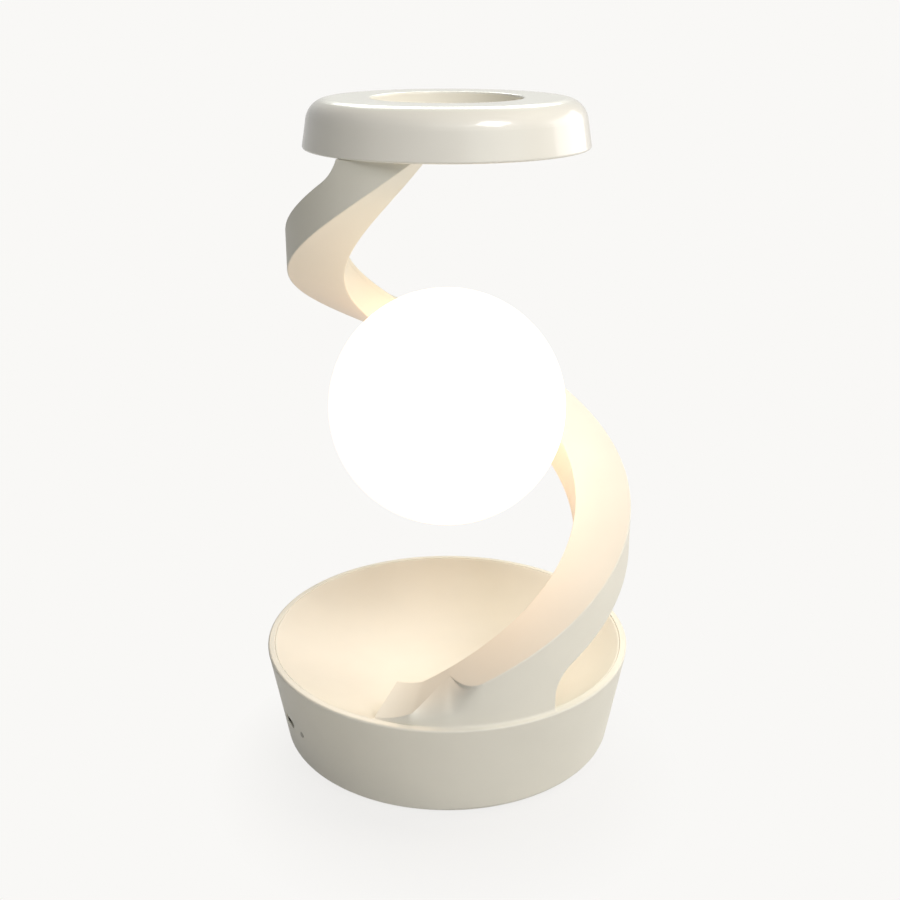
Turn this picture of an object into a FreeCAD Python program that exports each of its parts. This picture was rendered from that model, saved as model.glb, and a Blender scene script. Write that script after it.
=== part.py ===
import FreeCAD, Part
import math
import os
import Sketcher
from FreeCAD import Rotation, Vector

# Balance lamp: a round base with a tray, a spiral arm that climbs once round the lamp, a glowing globe held
# by a magnet on the arm's inner face, and a round charging head on the arm's upper end.
# Millimetres and degrees. The origin is on the lamp's axis at the surface it stands on, +Z up, the front
# is -Y.
# Angles round the axis are counted from the front (-Y) towards +X, the way the arm climbs.

doc = FreeCAD.newDocument("balance_lamp")

# ---------------------------------------------------------------- driving dimensions
DRIVING = [
    # base
    ("rim_margin_width", 1.4), ("base_taper_width", 7.1), ("base_height", 40.3), ("foot_proud_height", 0.8),
    ("base_wall", 2.6), ("base_edge_radius", 2.0), ("lip_width", 3.0), ("lip_edge_radius", 0.8),
    ("dish_seat_depth", 4.1), ("dish_ledge_width", 2.6), ("dish_ledge_depth", 2.4), ("dish_depth", 19.4),
    ("dish_wall", 2.4), ("dish_step_depth", 0.4), ("dish_edge_width", 0.8), ("part_gap", 0.2),
    ("slip_gap", 0.3), ("cover_recess_depth", 0.8), ("cover_thickness", 2.4), ("pad_foot_radius", 6.0),
    ("pad_foot_setback", 17.9), ("ballast_setback", 12.9), ("ballast_bore_radius", 16.0),
    ("ballast_thickness", 6.0), ("post_radius", 3.6), ("post_setback", 6.3), ("post_height", 16.0),
    ("post_first_angle", 35.0), ("cover_screw_radius", 1.5), ("cover_screw_length", 10.0),
    ("cover_screw_head_radius", 2.8), ("cover_screw_head_height", 1.4),
    # arm
    ("arm_width", 22.0), ("arm_height", 17.8), ("arm_tip_height", 14.4), ("arm_rim_height", 3.05),
    ("arm_pitch_height", 211.7), ("arm_tip_setback", 18.7), ("arm_drop_start_angle", 80.0),
    ("arm_drop_end_angle", 350.0), ("arm_foot_inset", 1.0), ("arm_wall", 2.4), ("strip_thickness", 2.0),
    ("foot_start_angle", -22.5), ("foot_flat_angle", -10.7),
    ("foot_flat_fall_height", 1.6), ("foot_point_angle", -10.5), ("foot_nose_angle", 1.3),
    ("foot_cut_angle", 10.5), ("foot_nose_setback", 15.2), ("foot_point_setback", 1.3),
    ("foot_point_height", 4.35), ("foot_brow_height", 1.2), ("foot_end_angle", 33.4),
    ("foot_web_radius", 7.0), ("foot_dome_height", 10.0), ("channel_end_angle", 315.0),
    ("arm_end_angle", 352.0), ("neck_rise_height", 9.0), ("neck_web_radius", 6.0),
    ("web_inset", 0.04),
    ("lug_inner_setback", 8.6), ("lug_length", 11.5), ("lug_start_angle", -13.0), ("lug_end_angle", 22.0),
    ("lug_height", 7.5), ("foot_floor_height", 5.5), ("arm_screw_radius", 1.9),
    ("arm_screw_head_radius", 3.4), ("arm_screw_length", 18.0), ("arm_screw_setback", 3.1),
    ("arm_screw_first_angle", -7.0), ("arm_screw_second_angle", 16.5), ("cable_radius", 1.5),
    ("cable_clearance", 0.5), ("cable_shaft_radius", 2.6), ("cable_shaft_angle", 5.0),
    ("cable_offset", 1.5),
    # head
    ("head_radius", 52.7), ("head_taper_width", 2.9), ("head_turn_angle", 334.239), ("head_height", 17.4),
    ("head_shoulder_radius", 8.5), ("head_wall", 2.0), ("recess_radius", 27.6), ("recess_depth", 5.0),
    ("recess_floor_thickness", 2.4), ("head_cover_thickness", 2.0), ("pad_thickness", 0.8),
    ("pad_margin_width", 2.6), ("coil_inner_radius", 10.0), ("coil_margin_width", 6.1),
    ("coil_thickness", 1.8), ("magnet_ring_margin", 5.0), ("magnet_ring_width", 2.8),
    ("ferrite_thickness", 0.8), ("charger_board_margin", 3.6), ("charger_board_height", 2.8),
    ("board_thickness", 1.6), ("head_screw_setback", 10.7), ("head_screw_length", 8.0),
    ("head_post_radius", 3.2), ("tip_screw_angle", 331.0), ("tip_screw_spread", 6.0),
    ("tip_screw_length", 5.5), ("tip_screw_radius", 1.25), ("tip_screw_head_radius", 2.4),
    ("tip_cable_angle", 324.0),
    # globe and its mount
    ("globe_radius", 46.45), ("globe_clearance", 5.15), ("globe_wall", 2.0), ("mount_angle", 164.4),
    ("mouth_radius", 10.0), ("face_depth", 1.25), ("core_radius", 7.5), ("core_length", 7.2),
    ("core_flange_radius", 9.2), ("core_flange_thickness", 1.4), ("run_gap", 0.05), ("face_gap", 0.2),
    ("magnet_inner_radius", 2.8), ("magnet_outer_radius", 6.5), ("magnet_thickness", 2.0),
    ("contact_board_thickness", 0.8), ("collar_flange_radius", 12.0), ("snap_ring_width", 0.9),
    ("snap_seat_depth", 1.1), ("light_post_radius", 3.0), ("light_post_wall", 0.9),
    ("light_offset", 6.0), ("light_board_radius", 11.0), ("chip_width", 2.0), ("chip_circle_radius", 7.5),
    ("lead_radius", 0.5), ("boss_radius", 7.0), ("shank_radius", 3.9), ("nut_radius", 5.2),
    ("nut_thickness", 2.0), ("plug_radius", 2.3), ("pin_radius", 0.45), ("pin_spacing", 1.3),
    # port, power button and control board
    ("port_angle", -64.0), ("port_level_height", 16.8), ("port_width", 8.94), ("port_height", 3.2),
    ("port_depth", 7.3), ("port_setback", 0.6), ("port_wall", 0.3), ("tongue_width", 6.6),
    ("tongue_thickness", 0.7), ("button_angle", -54.4), ("button_radius", 1.2),
    ("button_flange_radius", 2.2), ("switch_size_length", 3.4), ("switch_width", 5.0),
    ("switch_setback", 5.2), ("board_angle", -60.0), ("board_width", 34.0), ("board_length", 22.0),
    ("board_setback", 3.9), ("board_screw_radius", 1.0), ("board_screw_margin", 3.0),
    ("board_screw_spacing", 7.0),
]

# Sizes that follow from the driving ones, so that the pieces stay together when one of those changes.
DERIVED = [
    ("arm_radius", "globe_radius + globe_clearance + arm_width / 2"),
    ("base_radius_top", "arm_radius + arm_width / 2 + rim_margin_width"),
    ("base_radius_bottom", "base_radius_top - base_taper_width"),
    ("pad_foot_circle_radius", "base_radius_bottom - pad_foot_setback"),
    ("ballast_radius", "base_radius_bottom - ballast_setback"),
    ("post_circle_radius", "base_radius_bottom - post_setback"),
    ("board_outer_radius", "base_radius_bottom - board_setback"),
    ("board_inner_radius", "board_outer_radius - board_length"),
    ("arm_start_level", "base_height + arm_rim_height"),
    ("arm_tip_radius", "head_radius - arm_tip_setback"),
    ("arm_drop_width", "arm_radius - arm_tip_radius"),
    ("lug_inner_radius", "arm_radius - lug_inner_setback"),
    ("lug_outer_radius", "lug_inner_radius + lug_length"),
    ("arm_screw_circle_radius", "arm_radius - arm_screw_setback"),
    ("head_level", "arm_start_level + arm_pitch_height * head_turn_angle / 360"),
    ("head_screw_circle_radius", "head_radius - head_screw_setback"),
    ("pad_radius", "recess_radius - pad_margin_width"),
    ("coil_outer_radius", "recess_radius - coil_margin_width"),
    ("magnet_ring_radius", "recess_radius - magnet_ring_margin"),
    ("charger_board_radius", "recess_radius - charger_board_margin"),
]

sheet = doc.addObject("Spreadsheet::Sheet", "Sizes")
for row, (alias, amount) in enumerate(DRIVING + [(name, "=" + text) for name, text in DERIVED], 1):
    sheet.set("A%d" % row, alias)
    sheet.set("B%d" % row, str(amount))
    sheet.setAlias("B%d" % row, alias)
doc.recompute()


def size(alias):
    return float(sheet.get(alias))


def bound(text):
    """The expression text with each driving dimension read from the sheet."""
    words = sorted((alias for alias, _ in DRIVING + DERIVED), key=len, reverse=True)
    out = ""
    at = 0
    while at < len(text):
        found = next((w for w in words if text.startswith(w, at)), None)
        whole = found and (at == 0 or not (text[at - 1].isalnum() or text[at - 1] in "_."))
        after = text[at + len(found):at + len(found) + 1] if found else ""
        if whole and not (after.isalnum() or after == "_"):
            out += "Sizes." + found
            at += len(found)
        else:
            out += text[at]
            at += 1
    return out


def value(text):
    return float(sheet.evalExpression(bound(text).replace("Sizes.", "")))


# ---------------------------------------------------------------- levels and radii used by several pieces
SHELL_BOTTOM = "foot_proud_height"
RIM = "(foot_proud_height + base_height)"
WALL_SLOPE = "((base_radius_top - base_radius_bottom) / base_height)"
SEAT = "(foot_proud_height + base_height - dish_seat_depth)"
LEDGE = "(foot_proud_height + base_height - dish_seat_depth - dish_ledge_depth)"
LIP_INNER = "(base_radius_top - lip_width)"
DISH_RADIUS = "(base_radius_top - lip_width - part_gap)"
LEDGE_INNER = "(base_radius_top - lip_width - dish_ledge_width)"
DISH_EDGE = "(foot_proud_height + base_height - dish_step_depth)"
DISH_FLOOR = "(foot_proud_height + base_height - dish_step_depth - dish_depth)"
DISH_ARC_RADIUS = "(base_radius_top - lip_width - part_gap - dish_edge_width)"
COVER_BOTTOM = "(foot_proud_height + cover_recess_depth)"
COVER_TOP = "(foot_proud_height + cover_recess_depth + cover_thickness)"
COVER_RADIUS = "(base_radius_bottom - base_wall - part_gap)"
BALLAST_TOP = "(foot_proud_height + cover_recess_depth + cover_thickness + ballast_thickness)"
PORT_Z = "(foot_proud_height + port_level_height)"
BOARD_TOP = "(foot_proud_height + port_level_height - port_height / 2)"
HEAD_BOTTOM = "(foot_proud_height + head_level)"
HEAD_COVER_TOP = "(foot_proud_height + head_level + head_cover_thickness)"
HEAD_TOP = "(foot_proud_height + head_level + head_height)"
RECESS_FLOOR = "(foot_proud_height + head_level + head_height - recess_depth)"
PAD_SEAT = "(foot_proud_height + head_level + head_height - recess_depth - pad_thickness)"
RECESS_UNDER = "(foot_proud_height + head_level + head_height - recess_depth - recess_floor_thickness)"
HEAD_COVER_RADIUS = "(head_radius - head_wall - part_gap)"
CHARGER_BOARD = "(foot_proud_height + head_level + head_cover_thickness + charger_board_height)"
GLOBE_Z = "(foot_proud_height + arm_start_level + arm_pitch_height * mount_angle / 360)"
FACE = "(globe_radius - face_depth)"                       # flat face of the globe, from its centre
BOSS_FRONT = "(globe_radius - face_depth + face_gap)"
ARM_INNER_AT_MOUNT = ("(arm_radius - arm_width / 2 - arm_drop_width * ((mount_angle - arm_drop_start_angle)"
                      " / (arm_drop_end_angle - arm_drop_start_angle)) ^ 2.2)")
NUT_FRONT = "(%s + strip_thickness + slip_gap)" % ARM_INNER_AT_MOUNT


def outer_wall(level):
    """Expression for the shell's outer radius at a height."""
    return "(base_radius_bottom + (%s - foot_proud_height) * %s)" % (level, WALL_SLOPE)


# ---------------------------------------------------------------- building helpers
def bind(item, prop, text):
    item.setExpression(prop, bound(text))


def place(item, x="0", y="0", z="0"):
    for axis, text in zip("xyz", (x, y, z)):
        if text != "0":
            bind(item, "Placement.Base." + axis, text)


def turn(item, yaw, x, y, z, pitch="0"):
    """Places an item with its local X axis turned by yaw about Z, after tilting it by pitch about Y."""
    bind(item, "Placement", "create(<<placement>>; create(<<vector>>; %s; %s; %s); "
         "create(<<rotation>>; %s; %s; 0))" % (x, y, z, yaw, pitch))


def polar(radius, angle):
    """X and Y expressions of a point at a radius and an angle counted from the front towards +X."""
    return "(%s) * sin(%s * 1 deg)" % (radius, angle), "-(%s) * cos(%s * 1 deg)" % (radius, angle)


def cylinder(name, radius, height, x="0", y="0", z="0"):
    item = doc.addObject("Part::Cylinder", name)
    bind(item, "Radius", radius)
    bind(item, "Height", height)
    place(item, x, y, z)
    return item


def radial_cylinder(name, radius, start, end, angle, z):
    """A cylinder that lies along a horizontal radius, from one distance off the axis to another."""
    item = doc.addObject("Part::Cylinder", name)
    bind(item, "Radius", radius)
    bind(item, "Height", "(%s) - (%s)" % (end, start))
    x, y = polar(start, angle)
    turn(item, "(%s - 90)" % angle, x, y, z, "90")
    return item


def radial_box(name, start, end, width, height, angle, z):
    """A box whose length lies along a horizontal radius, centred across it, with its floor at z."""
    item = doc.addObject("Part::Box", name)
    bind(item, "Length", "(%s) - (%s)" % (end, start))
    bind(item, "Width", width)
    bind(item, "Height", height)
    x, y = polar(start, angle)
    back_x = "(%s) + (%s) / 2 * sin((%s - 90) * 1 deg)" % (x, width, angle)
    back_y = "(%s) - (%s) / 2 * cos((%s - 90) * 1 deg)" % (y, width, angle)
    turn(item, "(%s - 90)" % angle, back_x, back_y, z)
    return item


def fuse(name, items):
    item = doc.addObject("Part::MultiFuse", name)
    item.Shapes = items
    item.Refine = True
    return item


def cut(name, base, tools):
    item = doc.addObject("Part::Cut", name)
    item.Base = base
    item.Tool = tools[0] if len(tools) == 1 else fuse(name + "_tools", tools)
    return item


def group(name, items):
    item = doc.addObject("Part::Compound", name)
    item.Links = items
    return item


def origin_plane(body, role):
    return next(f for f in body.Origin.OriginFeatures if f.Role == role)


def outline(body, name, corners, arcs=()):
    """A closed outline in the body's XZ plane. Corners are pairs of expressions; an edge whose number is in
    arcs is an arc centred on the Z axis, from its corner to the next."""
    sketch = body.newObject("Sketcher::SketchObject", name)
    sketch.AttachmentSupport = [(origin_plane(body, "XZ_Plane"), "")]
    sketch.MapMode = "FlatFace"
    at = [Vector(value(x), value(z), 0) for x, z in corners]
    count = len(corners)
    for i in range(count):
        a, b = at[i], at[(i + 1) % count]
        if i in arcs:
            centre = Vector(0, (b.x ** 2 + b.y ** 2 - a.x ** 2 - a.y ** 2) / (2 * (b.y - a.y)), 0)
            start, end = (a - centre), (b - centre)
            turns_left = start.x * end.y - start.y * end.x > 0
            first, last = (start, end) if turns_left else (end, start)
            circle = Part.Circle(centre, Vector(0, 0, 1), start.Length)
            arc = Part.ArcOfCircle(circle, math.atan2(first.y, first.x), math.atan2(last.y, last.x))
            sketch.addGeometry(arc, False)
        else:
            sketch.addGeometry(Part.LineSegment(a, b), False)
    ends = []
    for i in range(count):
        geometry = sketch.Geometry[i]
        swapped = (geometry.StartPoint - at[i]).Length > (geometry.EndPoint - at[i]).Length
        ends.append((2, 1) if swapped else (1, 2))
        if i in arcs:
            sketch.addConstraint(Sketcher.Constraint("PointOnObject", i, 3, -2))
    for i in range(count):
        following = (i + 1) % count
        joint = Sketcher.Constraint("Coincident", i, ends[i][1], following, ends[following][0])
        sketch.addConstraint(joint)
    for i, (x, z) in enumerate(corners):
        for kind, text, axis in (("DistanceX", x, -2), ("DistanceY", z, -1)):
            if text == "0":
                sketch.addConstraint(Sketcher.Constraint("PointOnObject", i, ends[i][0], axis))
            else:
                number = sketch.addConstraint(Sketcher.Constraint(kind, -1, 1, i, ends[i][0], value(text)))
                sketch.setExpression("Constraints[%d]" % number, bound(text))
    return sketch


def turned(name, corners, arcs=(), fillets=()):
    """A body turned about its Z axis from an outline, with fillets given as (radius, height, fillet size)."""
    body = doc.addObject("PartDesign::Body", name)
    sketch = outline(body, name + "_outline", corners, arcs)
    revolve = body.newObject("PartDesign::Revolution", name + "_turn")
    revolve.Profile = sketch
    revolve.ReferenceAxis = (sketch, ["V_Axis"])
    revolve.Angle = 360
    doc.recompute()
    for number, (radius, level, amount) in enumerate(fillets):
        base = body.Tip
        names = []
        for i, edge in enumerate(base.Shape.Edges, 1):
            box = edge.BoundBox
            flat = box.ZLength < 1e-4 and abs(box.ZMin - value(level)) < 1e-3
            if flat and abs(max(box.XMax, -box.XMin, box.YMax) - value(radius)) < 1e-2:
                names.append("Edge%d" % i)
        item = body.newObject("PartDesign::Fillet", "%s_round%d" % (name, number))
        item.Base = (base, names)
        bind(item, "Radius", amount)
        doc.recompute()
    return body


def ring(name, inner, outer, bottom, top):
    return turned(name, [(inner, bottom), (outer, bottom), (outer, top), (inner, top)])


def along_mount(item):
    """Puts an item that is turned about its own Z on the globe's centre, its Z along the mount's axis."""
    turn(item, "(mount_angle - 90)", "0", "0", GLOBE_Z, "90")
    return item


def screw(name, shank, length, head, head_height, x, y, head_z, downward=False):
    """A pan-head screw with a vertical axis; head_z is the plane under its head."""
    if downward:
        cap = cylinder(name + "_cap", head, head_height, x, y, head_z)
        pin = cylinder(name + "_pin", shank, length, x, y, "(%s) - (%s)" % (head_z, length))
    else:
        cap = cylinder(name + "_cap", head, head_height, x, y, "(%s) - (%s)" % (head_z, head_height))
        pin = cylinder(name + "_pin", shank, length, x, y, head_z)
    return fuse(name, [cap, pin])


nodes = {}


def keep(node, item):
    item.Label = node
    nodes[node] = item
    return item


# ---------------------------------------------------------------- the arm's spiral, as functions of the angle
def arm_centre_radius(angle):
    span = size("arm_drop_end_angle") - size("arm_drop_start_angle")
    drop = max(0.0, (angle - size("arm_drop_start_angle")) / span) ** 2.2
    inset = max(0.0, 1 - angle / size("arm_drop_start_angle")) ** 2
    return size("arm_radius") - size("arm_drop_width") * drop - size("arm_foot_inset") * inset


def arm_centre_height(angle):
    return size("foot_proud_height") + size("arm_start_level") + size("arm_pitch_height") * angle / 360


def arm_half_height(angle):
    thinning = max(0.0, (angle - 170) / 180)
    return (size("arm_height") + (size("arm_tip_height") - size("arm_height")) * thinning) / 2


def section(angle, corners):
    """A closed wire in the vertical plane at an angle, from (radius, height) corners."""
    a = math.radians(angle)
    points = [Vector(r * math.sin(a), -r * math.cos(a), z) for r, z in corners]
    return Part.makePolygon(points + points[:1])


def steps(start, end, longest):
    count = max(1, math.ceil((end - start) / longest))
    return [start + (end - start) * i / count for i in range(count + 1)]


def loft(angles, corners_at, ruled):
    shape = Part.makeLoft([section(angle, corners_at(angle)) for angle in angles], True, ruled)
    if shape.Volume < 0:
        shape.reverse()
    return shape


def channel_section(angle):
    """The arm's C-shaped section, open on the side that faces the lamp's axis."""
    centre, level, half = arm_centre_radius(angle), arm_centre_height(angle), arm_half_height(angle)
    inner, outer = centre - size("arm_width") / 2, centre + size("arm_width") / 2
    wall = size("arm_wall")
    return [(inner, level - half), (outer, level - half), (outer, level + half), (inner, level + half),
            (inner, level + half - wall), (outer - wall, level + half - wall),
            (outer - wall, level - half + wall), (inner, level - half + wall)]


def tip_section(angle):
    """The arm's solid end, tall enough to reach the head all along."""
    centre, level, half = arm_centre_radius(angle), arm_centre_height(angle), arm_half_height(angle)
    inner, outer = centre - size("arm_width") / 2, centre + size("arm_width") / 2
    high = level + half + size("neck_rise_height")
    return [(inner, level - half), (outer, level - half), (outer, high), (inner, high)]


def neck_section(angle):
    """The rounded corner between the arm's top and the upright end of its tip."""
    centre, level, half = arm_centre_radius(angle), arm_centre_height(angle), arm_half_height(angle)
    inner = centre - size("arm_width") / 2 + size("web_inset")
    outer = centre + size("arm_width") / 2 - size("web_inset")
    depth = corner_depth(size("channel_end_angle") - angle, centre, "neck_web_radius")
    high = level + half + max(depth, 0.02)
    low = level + half - size("arm_wall") / 2
    return [(inner, low), (outer, low), (outer, high), (inner, high)]


def corner_depth(turned_by, radius, rounding):
    """How deep a rounded inside corner still is at an angle away from its upright face."""
    reach = max(0.0, 1 - math.radians(turned_by) * radius / size(rounding))
    return size(rounding) * (1 - math.sqrt(1 - reach ** 2))


def void_section(angle):
    centre, level, half = arm_centre_radius(angle), arm_centre_height(angle), arm_half_height(angle)
    inner, outer = centre - size("arm_width") / 2 - 1, centre + size("arm_width") / 2 - size("arm_wall")
    half -= size("arm_wall")
    low, high = level - half, level + half
    ridge, ridge_top = foot_ridge(angle)
    slope = (outer + size("arm_wall") - ridge) / (ridge_top - value(RIM))
    outer_high = min(outer, ridge + slope * (ridge_top - high) - 1.3 * size("arm_wall"))
    return [(inner, low), (outer, low), (outer_high, high), (inner, high)]


def strip_section(angle):
    centre, level, half = arm_centre_radius(angle), arm_centre_height(angle), arm_half_height(angle)
    inner = centre - size("arm_width") / 2
    half -= size("arm_wall") + size("part_gap") / 2
    outer = inner + size("strip_thickness")
    return [(inner, level - half), (outer, level - half), (outer, level + half), (inner, level + half)]


def eased(value, start, end):
    """0 at start, 1 at end and beyond, with a smooth rise between."""
    share = min(1.0, max(0.0, (value - start) / (end - start)))
    return 0.5 - 0.5 * math.cos(math.pi * share)


def foot_crest(angle):
    """Height of the foot's inner upper edge: the arm's own edge, then a ledge that levels out."""
    flat, start = size("foot_flat_angle"), size("foot_start_angle")
    left = 1 - min(1.0, max(0.0, (flat - angle) / (flat - start)))
    top = arm_centre_height(max(angle, flat)) + arm_half_height(angle)
    return top - size("foot_flat_fall_height") * (1 - left ** 2)


def foot_ridge(angle):
    """Radius and height of the foot's outer upper edge: it turns inward to the nose, from there it runs down
    and out to a point beside the lip, and then it sinks along the lip."""
    outer = arm_centre_radius(angle) + size("arm_width") / 2
    nose, point = size("foot_nose_angle"), size("foot_point_angle")
    if angle >= nose:
        cut = max(0.0, (size("foot_cut_angle") - angle) / (size("foot_cut_angle") - nose))
        top = arm_centre_height(angle) + arm_half_height(angle)
        return outer - size("foot_nose_setback") * cut ** 2.1, top
    share = min(1.0, (nose - angle) / (nose - point))
    setback = size("foot_nose_setback")
    setback += (size("foot_point_setback") - size("foot_nose_setback")) * share ** 1.6
    high = arm_centre_height(nose) + arm_half_height(nose)
    left = 1 - min(1.0, max(0.0, (point - angle) / (point - size("foot_start_angle"))))
    level = high + (value(RIM) + size("foot_point_height") - high) * share
    return outer - setback, level - size("foot_point_height") * (1 - left ** 1.7)


def foot_section(angle):
    """The arm's foot: the arm's section carried down through the tray to the ledge."""
    inner = arm_centre_radius(angle) - size("arm_width") / 2
    skin = value(DISH_RADIUS)
    nose, point = size("foot_nose_angle"), size("foot_point_angle")
    ridge, ridge_top = foot_ridge(angle)
    brow = size("foot_brow_height") * min(1.0, max(0.0, (angle - nose) / 3)) + 0.05
    beyond = eased(angle, point, point - 3)
    outer = arm_centre_radius(angle) + size("arm_width") / 2
    outer += (skin + 0.1 - outer) * min(1.0, max(0.0, (nose - angle) / (nose - point)))
    hem = value(RIM) + 0.1 + (value(DISH_EDGE) + 0.15 - value(RIM)) * beyond
    skirt = hem - 0.05 - 0.1 * beyond
    below = value(DISH_FLOOR) + size("foot_floor_height")
    ledge = value(LEDGE_INNER) - size("part_gap")
    outer = max(outer, skin + 0.05)
    rise = ridge_top - brow - hem
    crown = min(1.0, max(0.0, rise / size("foot_dome_height")))
    dome = []
    for turn in (60, 40, 20):
        across, up = 1 - math.cos(math.radians(turn)), math.sin(math.radians(turn))
        across += (turn / 90 - across) * (1 - crown)
        up += (turn / 90 - up) * (1 - crown)
        dome.append((outer - (outer - ridge) * across, hem + rise * up))
    top = [(inner, foot_crest(angle)), (ridge, ridge_top), (ridge, ridge_top - brow)]
    return top + dome + [(outer, hem), (skin, skirt), (skin, value(SEAT)), (ledge, value(SEAT)),
                         (ledge, below), (inner, below)]


def web_section(angle):
    """The rounded corner between the foot's upright end and the arm's underside."""
    centre, level, half = arm_centre_radius(angle), arm_centre_height(angle), arm_half_height(angle)
    inner = centre - size("arm_width") / 2 + size("web_inset")
    outer = centre + size("arm_width") / 2 - size("web_inset")
    depth = corner_depth(angle - size("foot_end_angle"), centre, "foot_web_radius")
    low = level - half - max(depth, 0.02)
    high = level - half + size("arm_wall") / 2
    return [(inner, low), (outer, low), (outer, high), (inner, high)]


def feature(name, shape):
    item = doc.addObject("Part::Feature", name)
    item.Shape = shape
    item.Placement = FreeCAD.Placement()
    return item


def at_angle(radius, angle, z):
    a = math.radians(angle)
    return Vector(radius * math.sin(a), -radius * math.cos(a), z)


# ---------------------------------------------------------------- base
def make_base():
    bottom_inner = "(base_radius_bottom - base_wall)"
    under_ledge = "(%s - base_wall)" % outer_wall(LEDGE)
    shell = turned("shell_wall", [
        (bottom_inner, SHELL_BOTTOM), ("base_radius_bottom", SHELL_BOTTOM), ("base_radius_top", RIM),
        (LIP_INNER, RIM), (LIP_INNER, SEAT), (LEDGE_INNER, SEAT), (LEDGE_INNER, LEDGE),
        (under_ledge, LEDGE)],
        fillets=[("base_radius_bottom", SHELL_BOTTOM, "base_edge_radius"),
                 ("base_radius_top", RIM, "lip_edge_radius"), (LIP_INNER, RIM, "lip_edge_radius / 2")])
    posts = []
    holes = []
    for i in range(3):
        angle = "(post_first_angle + %d)" % (120 * i)
        x, y = polar("post_circle_radius", angle)
        posts.append(cylinder("shell_post%d" % i, "post_radius", "post_height", x, y, COVER_TOP))
        posts.append(radial_box("shell_web%d" % i, "post_circle_radius",
                                "base_radius_bottom - base_wall / 2", "base_wall", "post_height", angle,
                                COVER_TOP))
        holes.append(cylinder("shell_hole%d" % i, "cover_screw_radius + 0.05", "post_height - 2", x, y,
                              COVER_TOP))
    wall_out = outer_wall(PORT_Z)
    port_x, port_y = polar(wall_out + " - 4", "port_angle")
    port_hole = stadium("port_hole", "port_width + 0.4", "port_height + 0.4", "8", port_x, port_y)
    button_hole = radial_cylinder("button_hole", "button_radius + run_gap", "base_radius_bottom - 6",
                                  "base_radius_top + 2", "button_angle", PORT_Z)
    keep("base_shell", cut("base_shell_cut", fuse("shell_solid", [shell] + posts),
                           holes + [port_hole, button_hole]))

    dish = turned("dish_bowl", [
        ("0", DISH_FLOOR), (DISH_ARC_RADIUS, DISH_EDGE), (DISH_RADIUS, DISH_EDGE), (DISH_RADIUS, SEAT),
        ("(%s - part_gap)" % LEDGE_INNER, SEAT), ("0", "(%s - dish_wall)" % DISH_FLOOR)], arcs=(0, 4))
    slot = feature("dish_slot", loft(
        steps(size("foot_start_angle") - 0.3, size("foot_end_angle") + 0.3, 3.0), slot_section, True))
    keep("base_dish", cut("base_dish_cut", dish, [slot]))

    cover = cylinder("cover_disc", COVER_RADIUS, "cover_thickness", z=COVER_BOTTOM)
    cover_holes = []
    ballast_holes = []
    screws = []
    for i in range(3):
        x, y = polar("post_circle_radius", "(post_first_angle + %d)" % (120 * i))
        cover_holes.append(cylinder("cover_hole%d" % i, "cover_screw_radius + 0.2", "cover_thickness + 2",
                                    x, y, "(%s - 1)" % COVER_BOTTOM))
        cover_holes.append(cylinder("cover_sink%d" % i, "cover_screw_head_radius + 0.3",
                                    "(1 + cover_thickness - 0.9)", x, y, "(%s - 1)" % COVER_BOTTOM))
        screws.append(screw("cover_screw%d" % i, "cover_screw_radius", "cover_screw_length",
                            "cover_screw_head_radius", "cover_screw_head_height", x, y,
                            "(%s - 0.9)" % COVER_TOP))
    arm_screws = []
    for i, angle in enumerate(("arm_screw_first_angle", "arm_screw_second_angle")):
        x, y = polar("arm_screw_circle_radius", angle)
        cover_holes.append(cylinder("cover_arm_hole%d" % i, "arm_screw_head_radius + 0.3",
                                    "cover_thickness + 2", x, y, "(%s - 1)" % COVER_BOTTOM))
        arm_screws.append(screw("arm_screw%d" % i, "arm_screw_radius", "arm_screw_length",
                                "arm_screw_head_radius", "cover_thickness - 0.2", x, y, COVER_TOP))
        ballast_holes.append(cylinder("ballast_hole%d" % i, "arm_screw_radius + 0.3",
                                      "ballast_thickness + 2", x, y, "(%s - 1)" % COVER_TOP))
    keep("bottom_cover", cut("bottom_cover_cut", cover, cover_holes))
    ballast = ring("ballast_ring", "ballast_bore_radius", "ballast_radius", COVER_TOP, BALLAST_TOP)
    seat = feature("ballast_tab", loft(steps(size("lug_start_angle"), size("lug_end_angle"), 4.0),
                                       tab_section, True))
    keep("ballast_plate", cut("ballast_plate_cut", fuse("ballast_solid", [ballast, seat]), ballast_holes))
    keep("cover_screws", group("cover_screw_set", screws))
    keep("arm_foot_screws", group("arm_screw_set", arm_screws))

    pads = []
    for i in range(4):
        x, y = polar("pad_foot_circle_radius", "(45 + %d)" % (90 * i))
        pads.append(cylinder("pad%d" % i, "pad_foot_radius", COVER_BOTTOM, x, y, "0"))
    keep("rubber_feet", group("pad_set", pads))


def tab_section(angle):
    """The ballast plate's tab under the arm's lug."""
    inner, outer = size("ballast_radius") - 1, size("lug_outer_radius") - 2.0
    low, high = value(COVER_TOP), value(BALLAST_TOP)
    return [(inner, low), (outer, low), (outer, high), (inner, high)]


def slot_section(angle):
    gap = size("slip_gap")
    inner = arm_centre_radius(angle) - size("arm_width") / 2 - gap
    outer = size("base_radius_top")
    low, high = value(DISH_FLOOR) - 10, value(RIM) + 5
    return [(inner, low), (outer, low), (outer, high), (inner, high)]


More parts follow.
